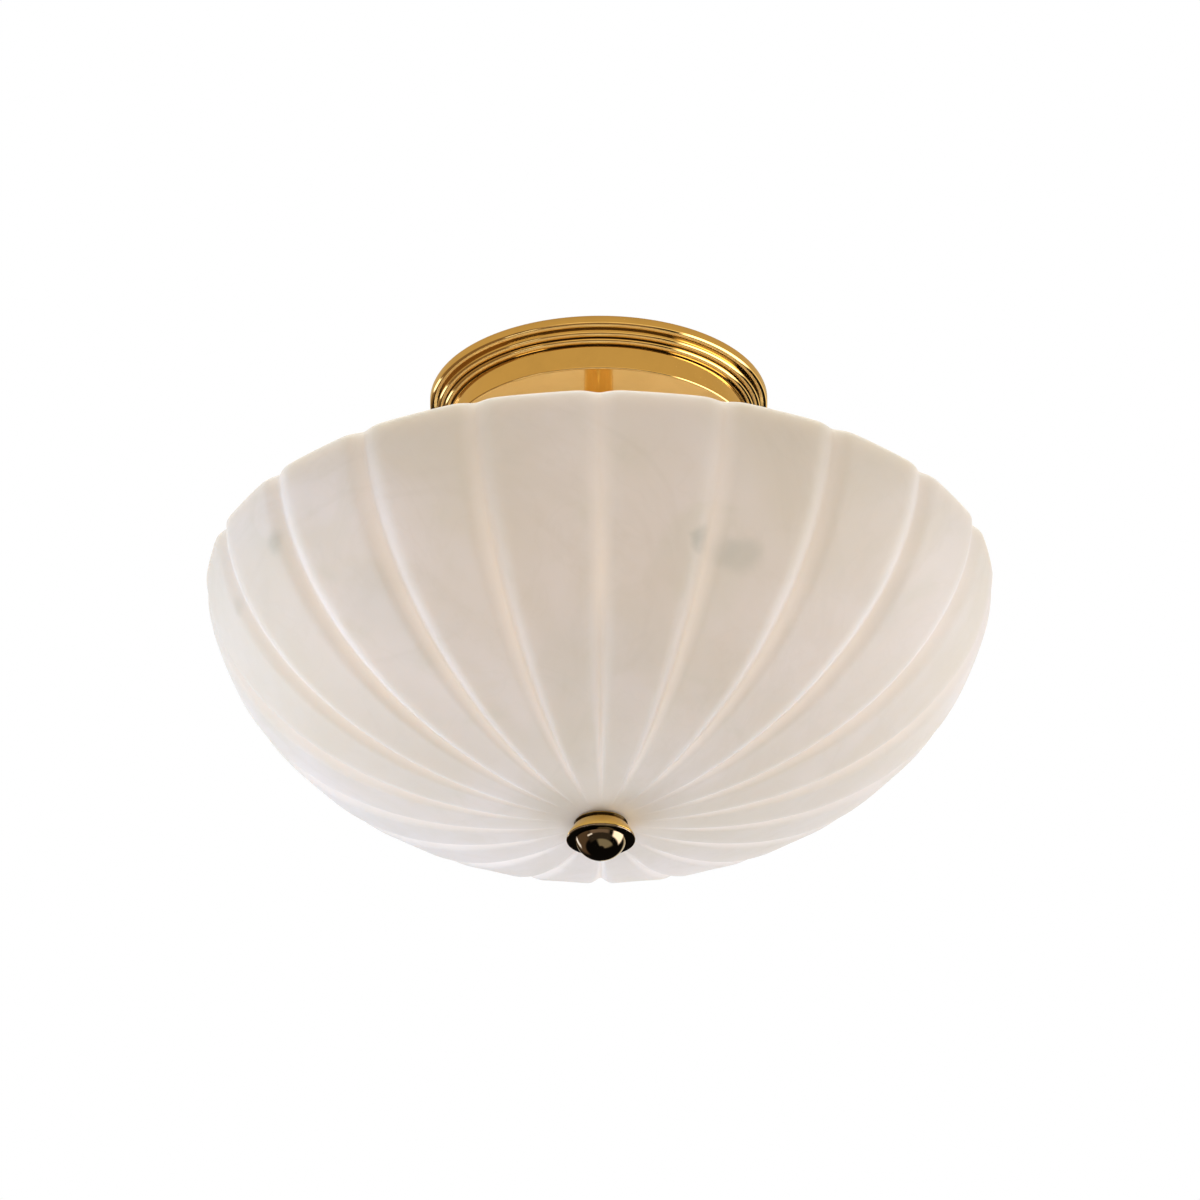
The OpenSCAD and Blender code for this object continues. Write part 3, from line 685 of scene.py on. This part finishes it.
dome_outline = dome(HUB_R, CAP_TOP) + dome(HUB_R - HUB_WALL, CAP_TOP - HUB_WALL)[::-1]
turned("hub_cap_dome", [(STEM_BORE, CAP_TOP)] + dome_outline + [(STEM_BORE, CAP_TOP - HUB_WALL)], "hub_cap")
turned("hub_body", rounded([
    (STEM_BORE, HUB_LOW, HUB_EDGE), (HUB_R - 3 * MM, HUB_LOW, 0.5 * MM),
    (HUB_R - 2.6 * MM, HUB_LOW + 0.8 * MM, 0.4 * MM), (HUB_R, HUB_LOW + 2.2 * MM, 1.2 * MM),
    (HUB_R, HUB_TOP - 3.4 * MM, HUB_EDGE), (HUB_R - HUB_LINE, HUB_TOP - 3 * MM, HUB_EDGE),
    (HUB_R - HUB_LINE, HUB_TOP - 2.4 * MM, HUB_EDGE), (HUB_R, HUB_TOP - 2 * MM, HUB_EDGE),
    (HUB_R, HUB_TOP, HUB_EDGE), (HUB_R - HUB_WALL, HUB_TOP, HUB_EDGE),
    (HUB_R - HUB_WALL, HUB_FLOOR, 0.6 * MM), (STEM_BORE, HUB_FLOOR, HUB_EDGE),
]), "socket_hub")

# Threaded pipe and studs, with threads of 27 and 32 turns to the inch
INCH = 25.4 * MM
PIPE_R = 4.85 * MM
PIPE_BORE = 3.2 * MM
PIPE_PITCH = INCH / 27
PIPE_DEPTH = 0.55 * MM
STUD_PITCH = INCH / 32
STUD_DEPTH = 0.42 * MM
for name, node in (("top_nipple_thread", "top_nipple"), ("rod_thread", "rod")):
    threaded(name, node, PIPE_R, PIPE_BORE, low_of(node), top_of(node), PIPE_PITCH, PIPE_DEPTH)
for side, name in SIDES:
    threaded(f"stud_{name}_thread", "canopy_studs", STUD_R, 0.0, low_of("canopy_studs"), top_of("canopy_studs"),
             STUD_PITCH, STUD_DEPTH, turn=Matrix.Translation((side * STUD_X, 0, 0)), steps=28)

NUT_FLATS = 14.3 * MM
NUT_H = 4 * MM
STUD_NUT_FLATS = 8.7 * MM
nut("nipple_nut_upper", "nipple_nuts", NUT_FLATS, PIPE_R, top_of("nipple_nuts") - NUT_H, top_of("nipple_nuts"))
nut("nipple_nut_lower", "nipple_nuts", NUT_FLATS, PIPE_R, low_of("nipple_nuts"), low_of("nipple_nuts") + NUT_H)
nut("hub_lock_nut", "hub_nut", NUT_FLATS, PIPE_R, low_of("hub_nut"), top_of("hub_nut"))
nut("bowl_clamp_nut", "clamp_nut", NUT_FLATS, PIPE_R, low_of("clamp_nut"), top_of("clamp_nut"))
for side, name in SIDES:
    nut(f"stud_nut_{name}", "stud_nuts", STUD_NUT_FLATS, STUD_R, low_of("stud_nuts"), top_of("stud_nuts"),
        centre=(side * STUD_X, 0))

# Lamps and their holders, drawn along +Z from the holder's back and turned into place
HOLDER_START = 36 * MM
LAMP_Z = -160 * MM
LAMP_FIRST = 30
LAMP_APART = 120
HOLDER_LEN = 42 * MM
HOLDER_R = 18.85 * MM
HOLDER_RIM_R = HOLDER_R + 1 * MM
HOLDER_LINE_R = HOLDER_R - 0.7 * MM
HOLDER_FLOOR = 11 * MM
HOLDER_HOLE = 8 * MM
RIVET_R = 1.6 * MM
SHELL_R = 14 * MM
SHELL_T = 0.7 * MM
SHELL_END = 40 * MM
SHELL_HOLE_R = 7 * MM
TIP_START = 12.1 * MM
CAP_START = 15.6 * MM
CAP_END = 40 * MM
CAP_R = 13 * MM
CAP_BASE_R = 9 * MM
CAP_BASE_H = 3 * MM
CAP_WALL = 1.8 * MM
CAP_PITCH = 3.63 * MM
CAP_DEPTH = 0.9 * MM
CAP_PLAIN = 2.2 * MM
# The tip's back stops this far short of the cap's face, so that no two faces lie in one plane
CAP_SEAM = 0.03 * MM
GLASS_R = 24 * MM
GLASS_END = 102.1 * MM
GLASS_NECK_R = 12.4 * MM
GLASS_NECK_END = 46 * MM
GLASS_WALL = 1 * MM
GLASS_SHOULDER = math.radians(-38)
GLASS_PULL = 8 * MM
SHOULDER_STEPS = 12
GLASS_STEPS = 24
ARM_R = 6.5 * MM
ARM_START = -14.6 * MM
ARM_COLLAR_R = ARM_R + 1.6 * MM
ARM_FLANGE_R = ARM_R + 1.4 * MM
ARM_SPIGOT = 7 * MM


def arm_outline():
    """From the hub's wall round a collar and a flange to the spigot in the holder's back."""
    return rounded([
        (PIPE_BORE, ARM_START, 0), (ARM_R, ARM_START, 0), (ARM_R, -12.2 * MM, 0),
        (ARM_COLLAR_R, -12.2 * MM, 0.3 * MM), (ARM_COLLAR_R, -10.6 * MM, 0.7 * MM), (ARM_R, -10 * MM, 0.4 * MM),
        (ARM_R, -1.8 * MM, 0.4 * MM), (ARM_FLANGE_R, -1.4 * MM, 0.5 * MM), (ARM_FLANGE_R, 0, 0.2 * MM),
        (PIPE_R, 0, 0), (PIPE_R, ARM_SPIGOT, 0.3 * MM), (PIPE_BORE, ARM_SPIGOT, 0),
    ])


def holder_outline():
    """From its back out to its mouth, then down the well of the screw shell to the rivet's hole."""
    return rounded([
        (PIPE_R, 0, 0.2 * MM), (12 * MM, 0, 0.6 * MM), (13.5 * MM, 1.6 * MM, 0.8 * MM),
        (HOLDER_R, 9 * MM, 2.5 * MM), (HOLDER_R, 22 * MM, 0.2 * MM), (HOLDER_LINE_R, 22.6 * MM, 0.2 * MM),
        (HOLDER_LINE_R, 24.4 * MM, 0.2 * MM), (HOLDER_R, 25 * MM, 0.2 * MM),
        (HOLDER_R, HOLDER_LEN - 4 * MM, 0.4 * MM), (HOLDER_RIM_R, HOLDER_LEN - 3 * MM, 0.5 * MM),
        (HOLDER_RIM_R, HOLDER_LEN, 1 * MM), (SHELL_R, HOLDER_LEN, 0.8 * MM), (SHELL_R, HOLDER_FLOOR, 0.3 * MM),
        (RIVET_R, HOLDER_FLOOR, 0.1 * MM), (RIVET_R, HOLDER_HOLE, 0.1 * MM), (PIPE_R, HOLDER_HOLE, 0.1 * MM),
    ])


def shell_outline():
    inside_r = SHELL_R - SHELL_T
    floor = HOLDER_FLOOR + SHELL_T
    return rounded([
        (SHELL_HOLE_R, HOLDER_FLOOR, 0), (SHELL_R, HOLDER_FLOOR, 0.5 * MM), (SHELL_R, SHELL_END, 0.1 * MM),
        (inside_r, SHELL_END, 0.1 * MM), (inside_r, floor, 0.3 * MM), (SHELL_HOLE_R, floor, 0),
    ])


def tip_outline():
    back = CAP_START - CAP_SEAM
    return rounded([
        (0, TIP_START, 0), (3.2 * MM, TIP_START, 0.5 * MM), (4 * MM, TIP_START + 1 * MM, 0.3 * MM),
        (CAP_BASE_R, back, 0.3 * MM), (0, back, 0),
    ], closed=False)


def cap_base_outline():
    """The cap's cone, which ends just inside the start of its thread."""
    core_r = CAP_R - CAP_DEPTH
    return rounded([
        (0, CAP_START, 0), (CAP_BASE_R, CAP_START, 0.4 * MM), (core_r, CAP_START + 2.6 * MM, 0.4 * MM),
        (core_r - 0.2 * MM, CAP_START + CAP_BASE_H, 0), (0, CAP_START + CAP_BASE_H, 0),
    ], closed=False)


def glass_outline():
    """Outer outline of the glass from its neck to its end, then the inside back to the neck."""
    centre = GLASS_END - GLASS_R
    outer = [(GLASS_NECK_R, CAP_END - 0.5 * MM), (GLASS_NECK_R, GLASS_NECK_END - 1.5 * MM)]
    start = Vector((GLASS_NECK_R, GLASS_NECK_END))
    end = Vector((GLASS_R * math.cos(GLASS_SHOULDER), centre + GLASS_R * math.sin(GLASS_SHOULDER)))
    leave = Vector((0, 1)) * GLASS_PULL
    arrive = Vector((-math.sin(GLASS_SHOULDER), math.cos(GLASS_SHOULDER))) * GLASS_PULL
    for k in range(SHOULDER_STEPS + 1):
        t = k / SHOULDER_STEPS
        point = (start * (1 - t) ** 3 + (start + leave) * 3 * t * (1 - t) ** 2
                 + (end - arrive) * 3 * t ** 2 * (1 - t) + end * t ** 3)
        outer.append(tuple(point))
    for k in range(1, GLASS_STEPS + 1):
        a = GLASS_SHOULDER + (math.pi / 2 - GLASS_SHOULDER) * k / GLASS_STEPS
        outer.append((GLASS_R * math.cos(a) if k < GLASS_STEPS else 0, centre + GLASS_R * math.sin(a)))
    # Near the pole the wall's thickness lies along the height
    inner = [(max(0, r - GLASS_WALL), z - (GLASS_WALL if r < GLASS_R / 2 and z > centre else 0))
             for r, z in reversed(outer)]
    return outer + inner


for i in (1, 2, 3):
    turn = (Matrix.Rotation(math.radians(LAMP_FIRST + LAMP_APART * (i - 1)), 4, "Z")
            @ Matrix.Translation((HOLDER_START, 0, LAMP_Z)) @ Matrix.Rotation(math.radians(90), 4, "Y"))
    turned(f"arm_{i}", arm_outline(), "socket_arms", turn=turn, steps=64)
    turned(f"holder_{i}", holder_outline(), f"lampholder_{i}", turn=turn)
    turned(f"shell_{i}", shell_outline(), f"screw_shell_{i}", turn=turn)
    turned(f"tip_{i}", tip_outline(), f"bulb_tip_{i}", closed=False, turn=turn, steps=48)
    turned(f"cap_base_{i}", cap_base_outline(), f"bulb_cap_{i}", closed=False, turn=turn, steps=72)
    threaded(f"cap_thread_{i}", f"bulb_cap_{i}", CAP_R, CAP_R - CAP_WALL, CAP_START + 2.4 * MM, CAP_END,
             CAP_PITCH, CAP_DEPTH, turn=turn, steps=72, rows=12, plain=CAP_PLAIN)
    turned(f"glass_{i}", glass_outline(), f"bulb_{i}", turn=turn)


# Bowl: a superellipse turned round the centre line and carved with grooves
BOWL_R = 203 * MM
BOWL_H = 139 * MM
BOWL_WALL = 12 * MM
BASE_WALL = 12 * MM
BOWL_RIM_R = 2.4 * MM
SHAPE_R = 2.29
SHAPE_Z = 1.82
SEAT_R = 15.5 * MM
INNER_SEAT_R = 22 * MM
BOWL_HOLE_R = 6.5 * MM
LOBES = 20
# A groove's depth, and in shares of half a lobe its half width, the half width of its painted light and its
# bottom's rounding
GROOVE_DEPTH = 4.4 * MM
GROOVE_WIDTH = 0.32
GROOVE_PAINTED_LIGHT = 0.2
GROOVE_ROUND = 0.07
# How far the middle of a lobe is flattened
LOBE_FLAT = 0.7 * MM
# The carving comes in over this distance from the seat, by this power, and its painted light sooner by this
# much
GROOVE_FADE = 85 * MM
FADE_POWER = 1.6
PAINTED_LIGHT_SOONER = 4
# Shares of the depth and of the painted light that are lost at the rim, and the powers by which they go
RIM_SHALLOW = 0.35
RIM_SHALLOW_POWER = 8
RIM_PAINTED_LIGHT_LOST = 0.68
RIM_PAINTED_LIGHT_LOST_POWER = 3
# Share of the grooves' painted light that goes on over the rim's rounding
RIM_PAINTED_LIGHT = 0.5
# The hand's unevenness: how often it changes round the bowl and per metre out from its centre line, and
# its effect on a groove's place, in shares of half a lobe, and on its depth
WANDER_ROUND = 3
WANDER_OUT = 14
WANDER_ASIDE = 0.035
WANDER_DEPTH = 0.12
RINGS = 84
INNER_RINGS = 28
RIM_STEPS = 6
MARKS_PER_LOBE = 28
# Power that crowds the columns of points at the grooves
MARK_CROWDING = 1.45
NORMAL_STEP = 0.003


def profile(t, radius, depth):
    """Point of a superellipse profile, t from 0 at the pole to 90 degrees at the rim."""
    return (radius * math.sin(t) ** (2 / SHAPE_R), -depth * math.cos(t) ** (2 / SHAPE_Z))


def profile_start(r, radius):
    """Value of t at which the profile reaches radius r."""
    return math.asin((r / radius) ** (SHAPE_R / 2))


def profile_end(depth):
    """Value of t at which the profile is as far below the rim as the rim's rounding."""
    return math.acos((BOWL_RIM_R / depth) ** (SHAPE_Z / 2))


def profile_normal(t):
    """Direction out of the stone, as radius and height, at a point of the outer profile."""
    r1, z1 = profile(t - NORMAL_STEP, BOWL_R, BOWL_H)
    r2, z2 = profile(min(t + NORMAL_STEP, math.pi / 2), BOWL_R, BOWL_H)
    length = math.hypot(r2 - r1, z2 - z1)
    return (z2 - z1) / length, -(r2 - r1) / length


def depth_at(r):
    """Depth of the outer profile below the rim at radius r."""
    return BOWL_H * (1 - (r / BOWL_R) ** SHAPE_R) ** (1 / SHAPE_Z)


def carve(mark, r, angle):
    """How far the surface lies inside the full profile, and how much of the groove's painted light it has.

    The mark is 0 on a groove and 1 or -1 on the middle of a lobe.
    """
    place = (math.cos(angle) * WANDER_ROUND, math.sin(angle) * WANDER_ROUND, r * WANDER_OUT)
    wander = noise.noise(Vector(place))
    aside = math.hypot(mark + WANDER_ASIDE * wander, GROOVE_ROUND) - GROOVE_ROUND
    flank = max(0, 1 - aside / GROOVE_WIDTH)
    fade = 1 - math.exp(-(max(0, r - SEAT_R) / GROOVE_FADE) ** FADE_POWER)
    depth = GROOVE_DEPTH * (1 + WANDER_DEPTH * wander) * (1 - RIM_SHALLOW * (r / BOWL_R) ** RIM_SHALLOW_POWER)
    cut = fade * (depth * flank ** 2 + LOBE_FLAT * (1 - math.cos(math.pi * abs(mark))) / 2)
    pale = min(1, PAINTED_LIGHT_SOONER * fade) * (1 - RIM_PAINTED_LIGHT_LOST * (r / BOWL_R) ** RIM_PAINTED_LIGHT_LOST_POWER)
    return cut, pale * max(0, 1 - aside / GROOVE_PAINTED_LIGHT)


def bowl_columns():
    """Angle and mark of each column of points round the bowl."""
    marks = []
    for k in range(MARKS_PER_LOBE):
        even = 2 * k / MARKS_PER_LOBE - 1
        marks.append(math.copysign(abs(even) ** MARK_CROWDING, even))
    half_lobe = math.pi / LOBES
    return [(math.pi / 2 + half_lobe * (2 * lobe + mark), mark) for lobe in range(LOBES) for mark in marks]


def outside_rings(columns):
    """Rings of the carved outside from the seat up and over the rim, and each point's share of painted light.
    """
    rim_t = profile_end(BOWL_H)
    base_t = profile_start(SEAT_R, BOWL_R)
    rings, groove = [], []
    for i in range(RINGS + 1):
        t = base_t + (rim_t - base_t) * i / RINGS
        r, z = profile(t, BOWL_R, BOWL_H)
        normal = profile_normal(t)
        ring = []
        for angle, mark in columns:
            cut, share = carve(mark, r, angle)
            edge = r - normal[0] * cut
            ring.append((edge * math.cos(angle), edge * math.sin(angle), RIM_Z + z - normal[1] * cut))
            groove.append(share)
        rings.append(ring)
    edge_r = profile(rim_t, BOWL_R, BOWL_H)[0]
    for i in range(1, RIM_STEPS + 1):
        a = math.pi / 2 * i / RIM_STEPS
        ring = []
        for angle, mark in columns:
            cut, share = carve(mark, edge_r, angle)
            r = edge_r - BOWL_RIM_R * (1 - math.cos(a)) - cut
            ring.append((r * math.cos(angle), r * math.sin(angle), RIM_Z - BOWL_RIM_R * (1 - math.sin(a))))
            groove.append(share * RIM_PAINTED_LIGHT)
        rings.append(ring)
    return rings, groove


def inside_section():
    """Section of the plain inside from the rim's rounding down to the seat and through the hole."""
    inner_r = BOWL_R - BOWL_WALL
    seat_share = (1 - (INNER_SEAT_R / inner_r) ** SHAPE_R) ** (1 / SHAPE_Z)
    inner_depth = (depth_at(SEAT_R) - BASE_WALL) / seat_share
    start = profile_start(INNER_SEAT_R, inner_r)
    end = profile_end(inner_depth)
    shares = [i / INNER_RINGS for i in range(INNER_RINGS + 1)]
    wall = [profile(end + (start - end) * share, inner_r, inner_depth) for share in shares]
    section = []
    for i in range(RIM_STEPS):
        a = math.pi / 2 * (1 - i / RIM_STEPS)
        section.append((wall[0][0] + BOWL_RIM_R * (1 - math.cos(a)), -BOWL_RIM_R * (1 - math.sin(a))))
    return section + wall + [(BOWL_HOLE_R, wall[-1][1]), (BOWL_HOLE_R, -depth_at(SEAT_R))]


def make_bowl():
    columns = bowl_columns()
    rings, groove = outside_rings(columns)
    for r, z in inside_section():
        rings.append([(r * math.cos(angle), r * math.sin(angle), RIM_Z + z) for angle, mark in columns])
        groove += [0.0] * len(columns)
    # Painted light: each point carries its share of the grooves' paler tone
    painted(skinned("stone_bowl", rings, "bowl", sharp=60), "groove", groove)


make_bowl()

# Seat parts of the bowl and the finial
FLANGE_R = radius_of("finial_knob")
KNOB_Z = top_of("finial_knob")
FLANGE_T = 1.3 * MM
DOME_R = 13.2 * MM
PAD_HOLE_R = 5.25 * MM
SEAT_PARTS = (
    ("inner_washer", "steel_washer", 0.4 * MM),
    ("inner_gasket", "inner_rubber", 0.5 * MM),
    ("outer_gasket", "outer_rubber", 0.2 * MM),
)
for node, name, rounding in SEAT_PARTS:
    low, high, wide = low_of(node), top_of(node), radius_of(node)
    turned(name, rounded([(PAD_HOLE_R, low, rounding), (wide, low, rounding),
                          (wide, high, rounding), (PAD_HOLE_R, high, rounding)]), node)

# The washer's painted shade above and below, and how high the lower one goes, in halves of its height:
# above, a darkening for the shaded stone it reflects; below, near black for the shade in the crevice over the
# cone
WASHER_PAINTED_SHADE_ABOVE = 0.22
WASHER_PAINTED_SHADE_BELOW = 0.96
WASHER_PAINTED_SHADE_TOP = 1.2
WASHER_R = radius_of("outer_washer")
washer_low, washer_high = low_of("outer_washer"), top_of("outer_washer")
half = (washer_high - washer_low) / 2
angles = [math.radians(a) for a in range(-90, 91, 10)]
bead = [(WASHER_R - half + half * math.cos(a), washer_low + half + half * math.sin(a)) for a in angles]
washer_outline = [(PAD_HOLE_R, washer_low)] + bead + [(PAD_HOLE_R, washer_high)]
washer = turned("finial_washer", washer_outline, "outer_washer", steps=144)
dark_top = washer_low + WASHER_PAINTED_SHADE_TOP * half
# Painted shade: the washer's lower part is painted near black and its upper part darkened
painted(washer, "painted_shade", [WASHER_PAINTED_SHADE_BELOW if point.co.z < dark_top else WASHER_PAINTED_SHADE_ABOVE
                           for point in washer.data.vertices])

# How far down the cone its flare ends, as a share of its height
CONE_TOP_R = 13.4 * MM
CONE_FLARE = 0.74
cone_high = top_of("finial_cap")
cone_h = cone_high - KNOB_Z
turned("finial_cone", rounded([
    (PAD_HOLE_R, KNOB_Z, 0), (FLANGE_R - 0.1 * MM, KNOB_Z, 0.2 * MM),
    (FLANGE_R - 0.8 * MM, cone_high - CONE_FLARE * cone_h, 1.6 * MM), (CONE_TOP_R, cone_high, 0.3 * MM),
    (PAD_HOLE_R, cone_high, 0),
]), "finial_cap", steps=144)

KNOB_HOLE = 9.5 * MM
KNOB_DOME_STEPS = 32
FLANGE_STEPS = 12


def knob_outline():
    """From the dome's pole up to the flange, over its edge and into the threaded hole."""
    rise = KNOB_Z - FLANGE_T - low_of("finial_knob")
    dome_r = (DOME_R ** 2 + rise ** 2) / (2 * rise)
    centre = low_of("finial_knob") + dome_r
    reach = math.asin((centre - KNOB_Z + FLANGE_T) / dome_r)
    points = [(0, centre - dome_r)]
    for k in range(1, KNOB_DOME_STEPS + 1):
        a = -math.pi / 2 + (math.pi / 2 - reach) * k / KNOB_DOME_STEPS
        points.append((dome_r * math.cos(a), centre + dome_r * math.sin(a)))
    half_t = FLANGE_T / 2
    points.append((DOME_R + 0.5 * MM, KNOB_Z - FLANGE_T))
    for k in range(FLANGE_STEPS + 1):
        a = -math.pi / 2 + math.pi * k / FLANGE_STEPS
        points.append((FLANGE_R - half_t + half_t * math.cos(a), KNOB_Z - half_t + half_t * math.sin(a)))
    return points + [(PIPE_R, KNOB_Z), (PIPE_R, KNOB_Z - KNOB_HOLE), (0, KNOB_Z - KNOB_HOLE)]


turned("finial_ball", knob_outline(), "finial_knob", closed=False, steps=144)

# Stage, in metres: floor far below, walls that only reflections see, lamps and a white background
FLOOR_Z = -5.7
FLOOR_HALF = 30
SHELL_RADIUS = 3.3
SHELL_ROWS = 24
SHELL_COLUMNS = 48
CENTRE = (cad_low + cad_high) / 2


def staged(name, mesh, material):
    mesh.materials.append(material)
    thing = bpy.data.objects.new(name, mesh)
    scene.collection.objects.link(thing)
    return thing


def make_floor():
    """A plain pale floor that lends the object no colour."""
    material, tree, shader = new_material("floor_paint")
    feed(tree, shader, {"Base Color": srgb(238, 236, 232), "Roughness": 0.9, "Specular IOR Level": 0.1})
    mesh = bpy.data.meshes.new("floor")
    corners = [(x * FLOOR_HALF, y * FLOOR_HALF, FLOOR_Z) for x, y in ((-1, -1), (1, -1), (1, 1), (-1, 1))]
    mesh.from_pydata(corners, [], [(0, 1, 2, 3)])
    floor = staged("floor", mesh, material)
    floor.visible_diffuse = False


# Windows of the studio: turn from the camera's side to the right, height angle, half sizes in degrees, light
WINDOWS = (
    (-100, -12, 48, 22, (0.24, 0.16, 0.095, 1)),
    (-6, -34, 60, 14, (0.09, 0.07, 0.05, 1)),
    (34, -62, 56, 15, (0.62, 0.56, 0.38, 1)),
    (-6, -9, 42, 11, (0.46, 0.34, 0.25, 1)),
    (84, -5, 27, 20, (4.4, 4.1, 3.8, 1)),
    (-52, -20, 12, 3, (2.6, 2.6, 2.7, 1)),
    (-130, 0, 6, 14, (2.6, 2.7, 2.9, 1)),
)
# Shares of a window's half size where its light begins to fade and where it has gone
WINDOW_FULL = 0.8
WINDOW_GONE = 1.2
WALL = (0.60, 0.46, 0.25, 1)
OVERHEAD = (0.46, 0.36, 0.24, 1)
WALL_STRIP = (1.2, 1.05, 0.75, 1)
DARK_FLOOR = (0.010, 0.009, 0.008, 1)
# Ranges in degrees: height where the wall turns into the overhead tone, height where the wall's brighter
# strip ends, turn where that strip begins, turn and height of the raised horizon, and its softness
OVERHEAD_RISE = (30, 75)
STRIP_RISE = (10, 19)
STRIP_TURN = (-60, -10)
HORIZON_TURN = (-50, -10)
HORIZON_RAISED = 11
HORIZON_SOFT = (-3, 4)


def shell_tone(tree, rise, turn):
    """Tone of the studio in a direction given by its height and turn in degrees."""
    tone = mixed(tree, between(tree, rise, *OVERHEAD_RISE), WALL, OVERHEAD)
    strip = sums(tree, "MULTIPLY", between(tree, rise, *STRIP_RISE, 1.0, 0.0), between(tree, turn, *STRIP_TURN))
    tone = mixed(tree, strip, tone, WALL_STRIP)
    horizon = between(tree, turn, *HORIZON_TURN, HORIZON_RAISED, 0)
    above = sums(tree, "SUBTRACT", rise, horizon)
    tone = mixed(tree, between(tree, above, *HORIZON_SOFT), DARK_FLOOR, tone)
    for turn_at, rise_at, half_turn, half_rise, light in WINDOWS:
        share = []
        for angle, middle, reach in ((turn, turn_at, half_turn), (rise, rise_at, half_rise)):
            off = sums(tree, "ABSOLUTE", sums(tree, "SUBTRACT", angle, middle))
            share.append(between(tree, off, reach * WINDOW_FULL, reach * WINDOW_GONE, 1.0, 0.0))
        tone = mixed(tree, sums(tree, "MULTIPLY", *share), tone, light)
    return tone


def make_reflection_shell():
    """A studio round the object that only mirror reflections see: warm walls above and a dark floor below."""
    material = bpy.data.materials.new("studio_walls")
    material.use_nodes = True
    tree = material.node_tree
    tree.nodes.clear()
    place = add(tree, "ShaderNodeSeparateXYZ", {0: place_in(tree)})
    height = sums(tree, "DIVIDE", place.outputs["Z"], SHELL_RADIUS)
    rise = sums(tree, "MULTIPLY", sums(tree, "ARCSINE", height), 180 / math.pi)
    front = sums(tree, "MULTIPLY", place.outputs["Y"], -1.0)
    turn = sums(tree, "MULTIPLY", sums(tree, "ARCTAN2", place.outputs["X"], front), 180 / math.pi)
    light = add(tree, "ShaderNodeEmission", {"Color": shell_tone(tree, rise, turn), "Strength": 1.0})
    out = add(tree, "ShaderNodeOutputMaterial")
    tree.links.new(light.outputs[0], out.inputs["Surface"])
    material.cycles.emission_sampling = "NONE"
    points, faces = [], []
    for i in range(SHELL_ROWS + 1):
        fall = math.pi * i / SHELL_ROWS
        wide, level = SHELL_RADIUS * math.sin(fall), -SHELL_RADIUS * math.cos(fall)
        for k in range(SHELL_COLUMNS):
            a = 2 * math.pi * k / SHELL_COLUMNS
            points.append((wide * math.cos(a), wide * math.sin(a), level))
    for i in range(SHELL_ROWS):
        low, high = i * SHELL_COLUMNS, (i + 1) * SHELL_COLUMNS
        for k in range(SHELL_COLUMNS):
            n = (k + 1) % SHELL_COLUMNS
            faces.append((low + k, low + n, high + n, high + k))
    mesh = bpy.data.meshes.new("studio_shell")
    mesh.from_pydata(points, [], faces)
    shell = staged("studio_shell", mesh, material)
    shell.location = CENTRE
    shell.visible_camera = False
    shell.visible_diffuse = False
    shell.visible_transmission = False
    shell.visible_shadow = False
    shell.visible_volume_scatter = False


# Lamps round the object's centre: place, power in watts and colour
LAMP_SIDE = 1.6
LAMPS = {
    "left_lamp": ((-3.0, 0.2, 0.2), 22, (0.52, 0.70, 1.0)),
    "right_lamp": ((3.0, 0.2, 0.2), 15.5, (0.93, 0.97, 1.0)),
    "left_back_lamp": ((-2.3, 1.6, -1.0), 78, (0.72, 0.82, 1.0)),
    "right_back_lamp": ((2.3, 1.6, -1.0), 62, (0.76, 0.83, 1.0)),
    "front_lamp": ((0.0, -2.6, -1.4), 32, (1.0, 0.96, 0.92)),
    "top_lamp": ((0.0, 0.0, 2.8), 73, (0.98, 1.0, 0.99)),
}
WORLD_STRENGTH = 0.5


def make_lamp(name, offset, power, colour):
    """A soft square lamp that lights the object but isn't seen in its reflections."""
    data = bpy.data.lights.new(name, "AREA")
    data.shape = "RECTANGLE"
    data.size = LAMP_SIDE
    data.size_y = LAMP_SIDE
    data.energy = power
    data.color = colour
    light = bpy.data.objects.new(name, data)
    scene.collection.objects.link(light)
    place = Vector(offset) + CENTRE
    direction = CENTRE - place
    light.matrix_world = Matrix.Translation(place) @ direction.to_track_quat("-Z", "Y").to_matrix().to_4x4()
    light.visible_camera = False
    light.visible_glossy = False


def make_world():
    """Even light on the object, while the camera, mirror reflections and clear pieces see plain white."""
    world = bpy.data.worlds.new("studio")
    scene.world = world
    world.use_nodes = True
    tree = world.node_tree
    tree.nodes.clear()
    path = add(tree, "ShaderNodeLightPath")
    seen = sums(tree, "MAXIMUM", path.outputs["Is Camera Ray"], path.outputs["Is Glossy Ray"])
    seen = sums(tree, "MAXIMUM", seen, path.outputs["Is Transmission Ray"])
    ambient = add(tree, "ShaderNodeBackground", {"Color": WHITE, "Strength": WORLD_STRENGTH})
    backdrop = add(tree, "ShaderNodeBackground", {"Color": WHITE, "Strength": 1.0})
    both = add(tree, "ShaderNodeMixShader")
    tree.links.new(seen, both.inputs[0])
    tree.links.new(ambient.outputs[0], both.inputs[1])
    tree.links.new(backdrop.outputs[0], both.inputs[2])
    out = add(tree, "ShaderNodeOutputWorld")
    tree.links.new(both.outputs[0], out.inputs["Surface"])


make_floor()
make_reflection_shell()
make_world()
for name, (offset, power, colour) in LAMPS.items():
    make_lamp(name, offset, power, colour)
scene.view_settings.view_transform = "Standard"
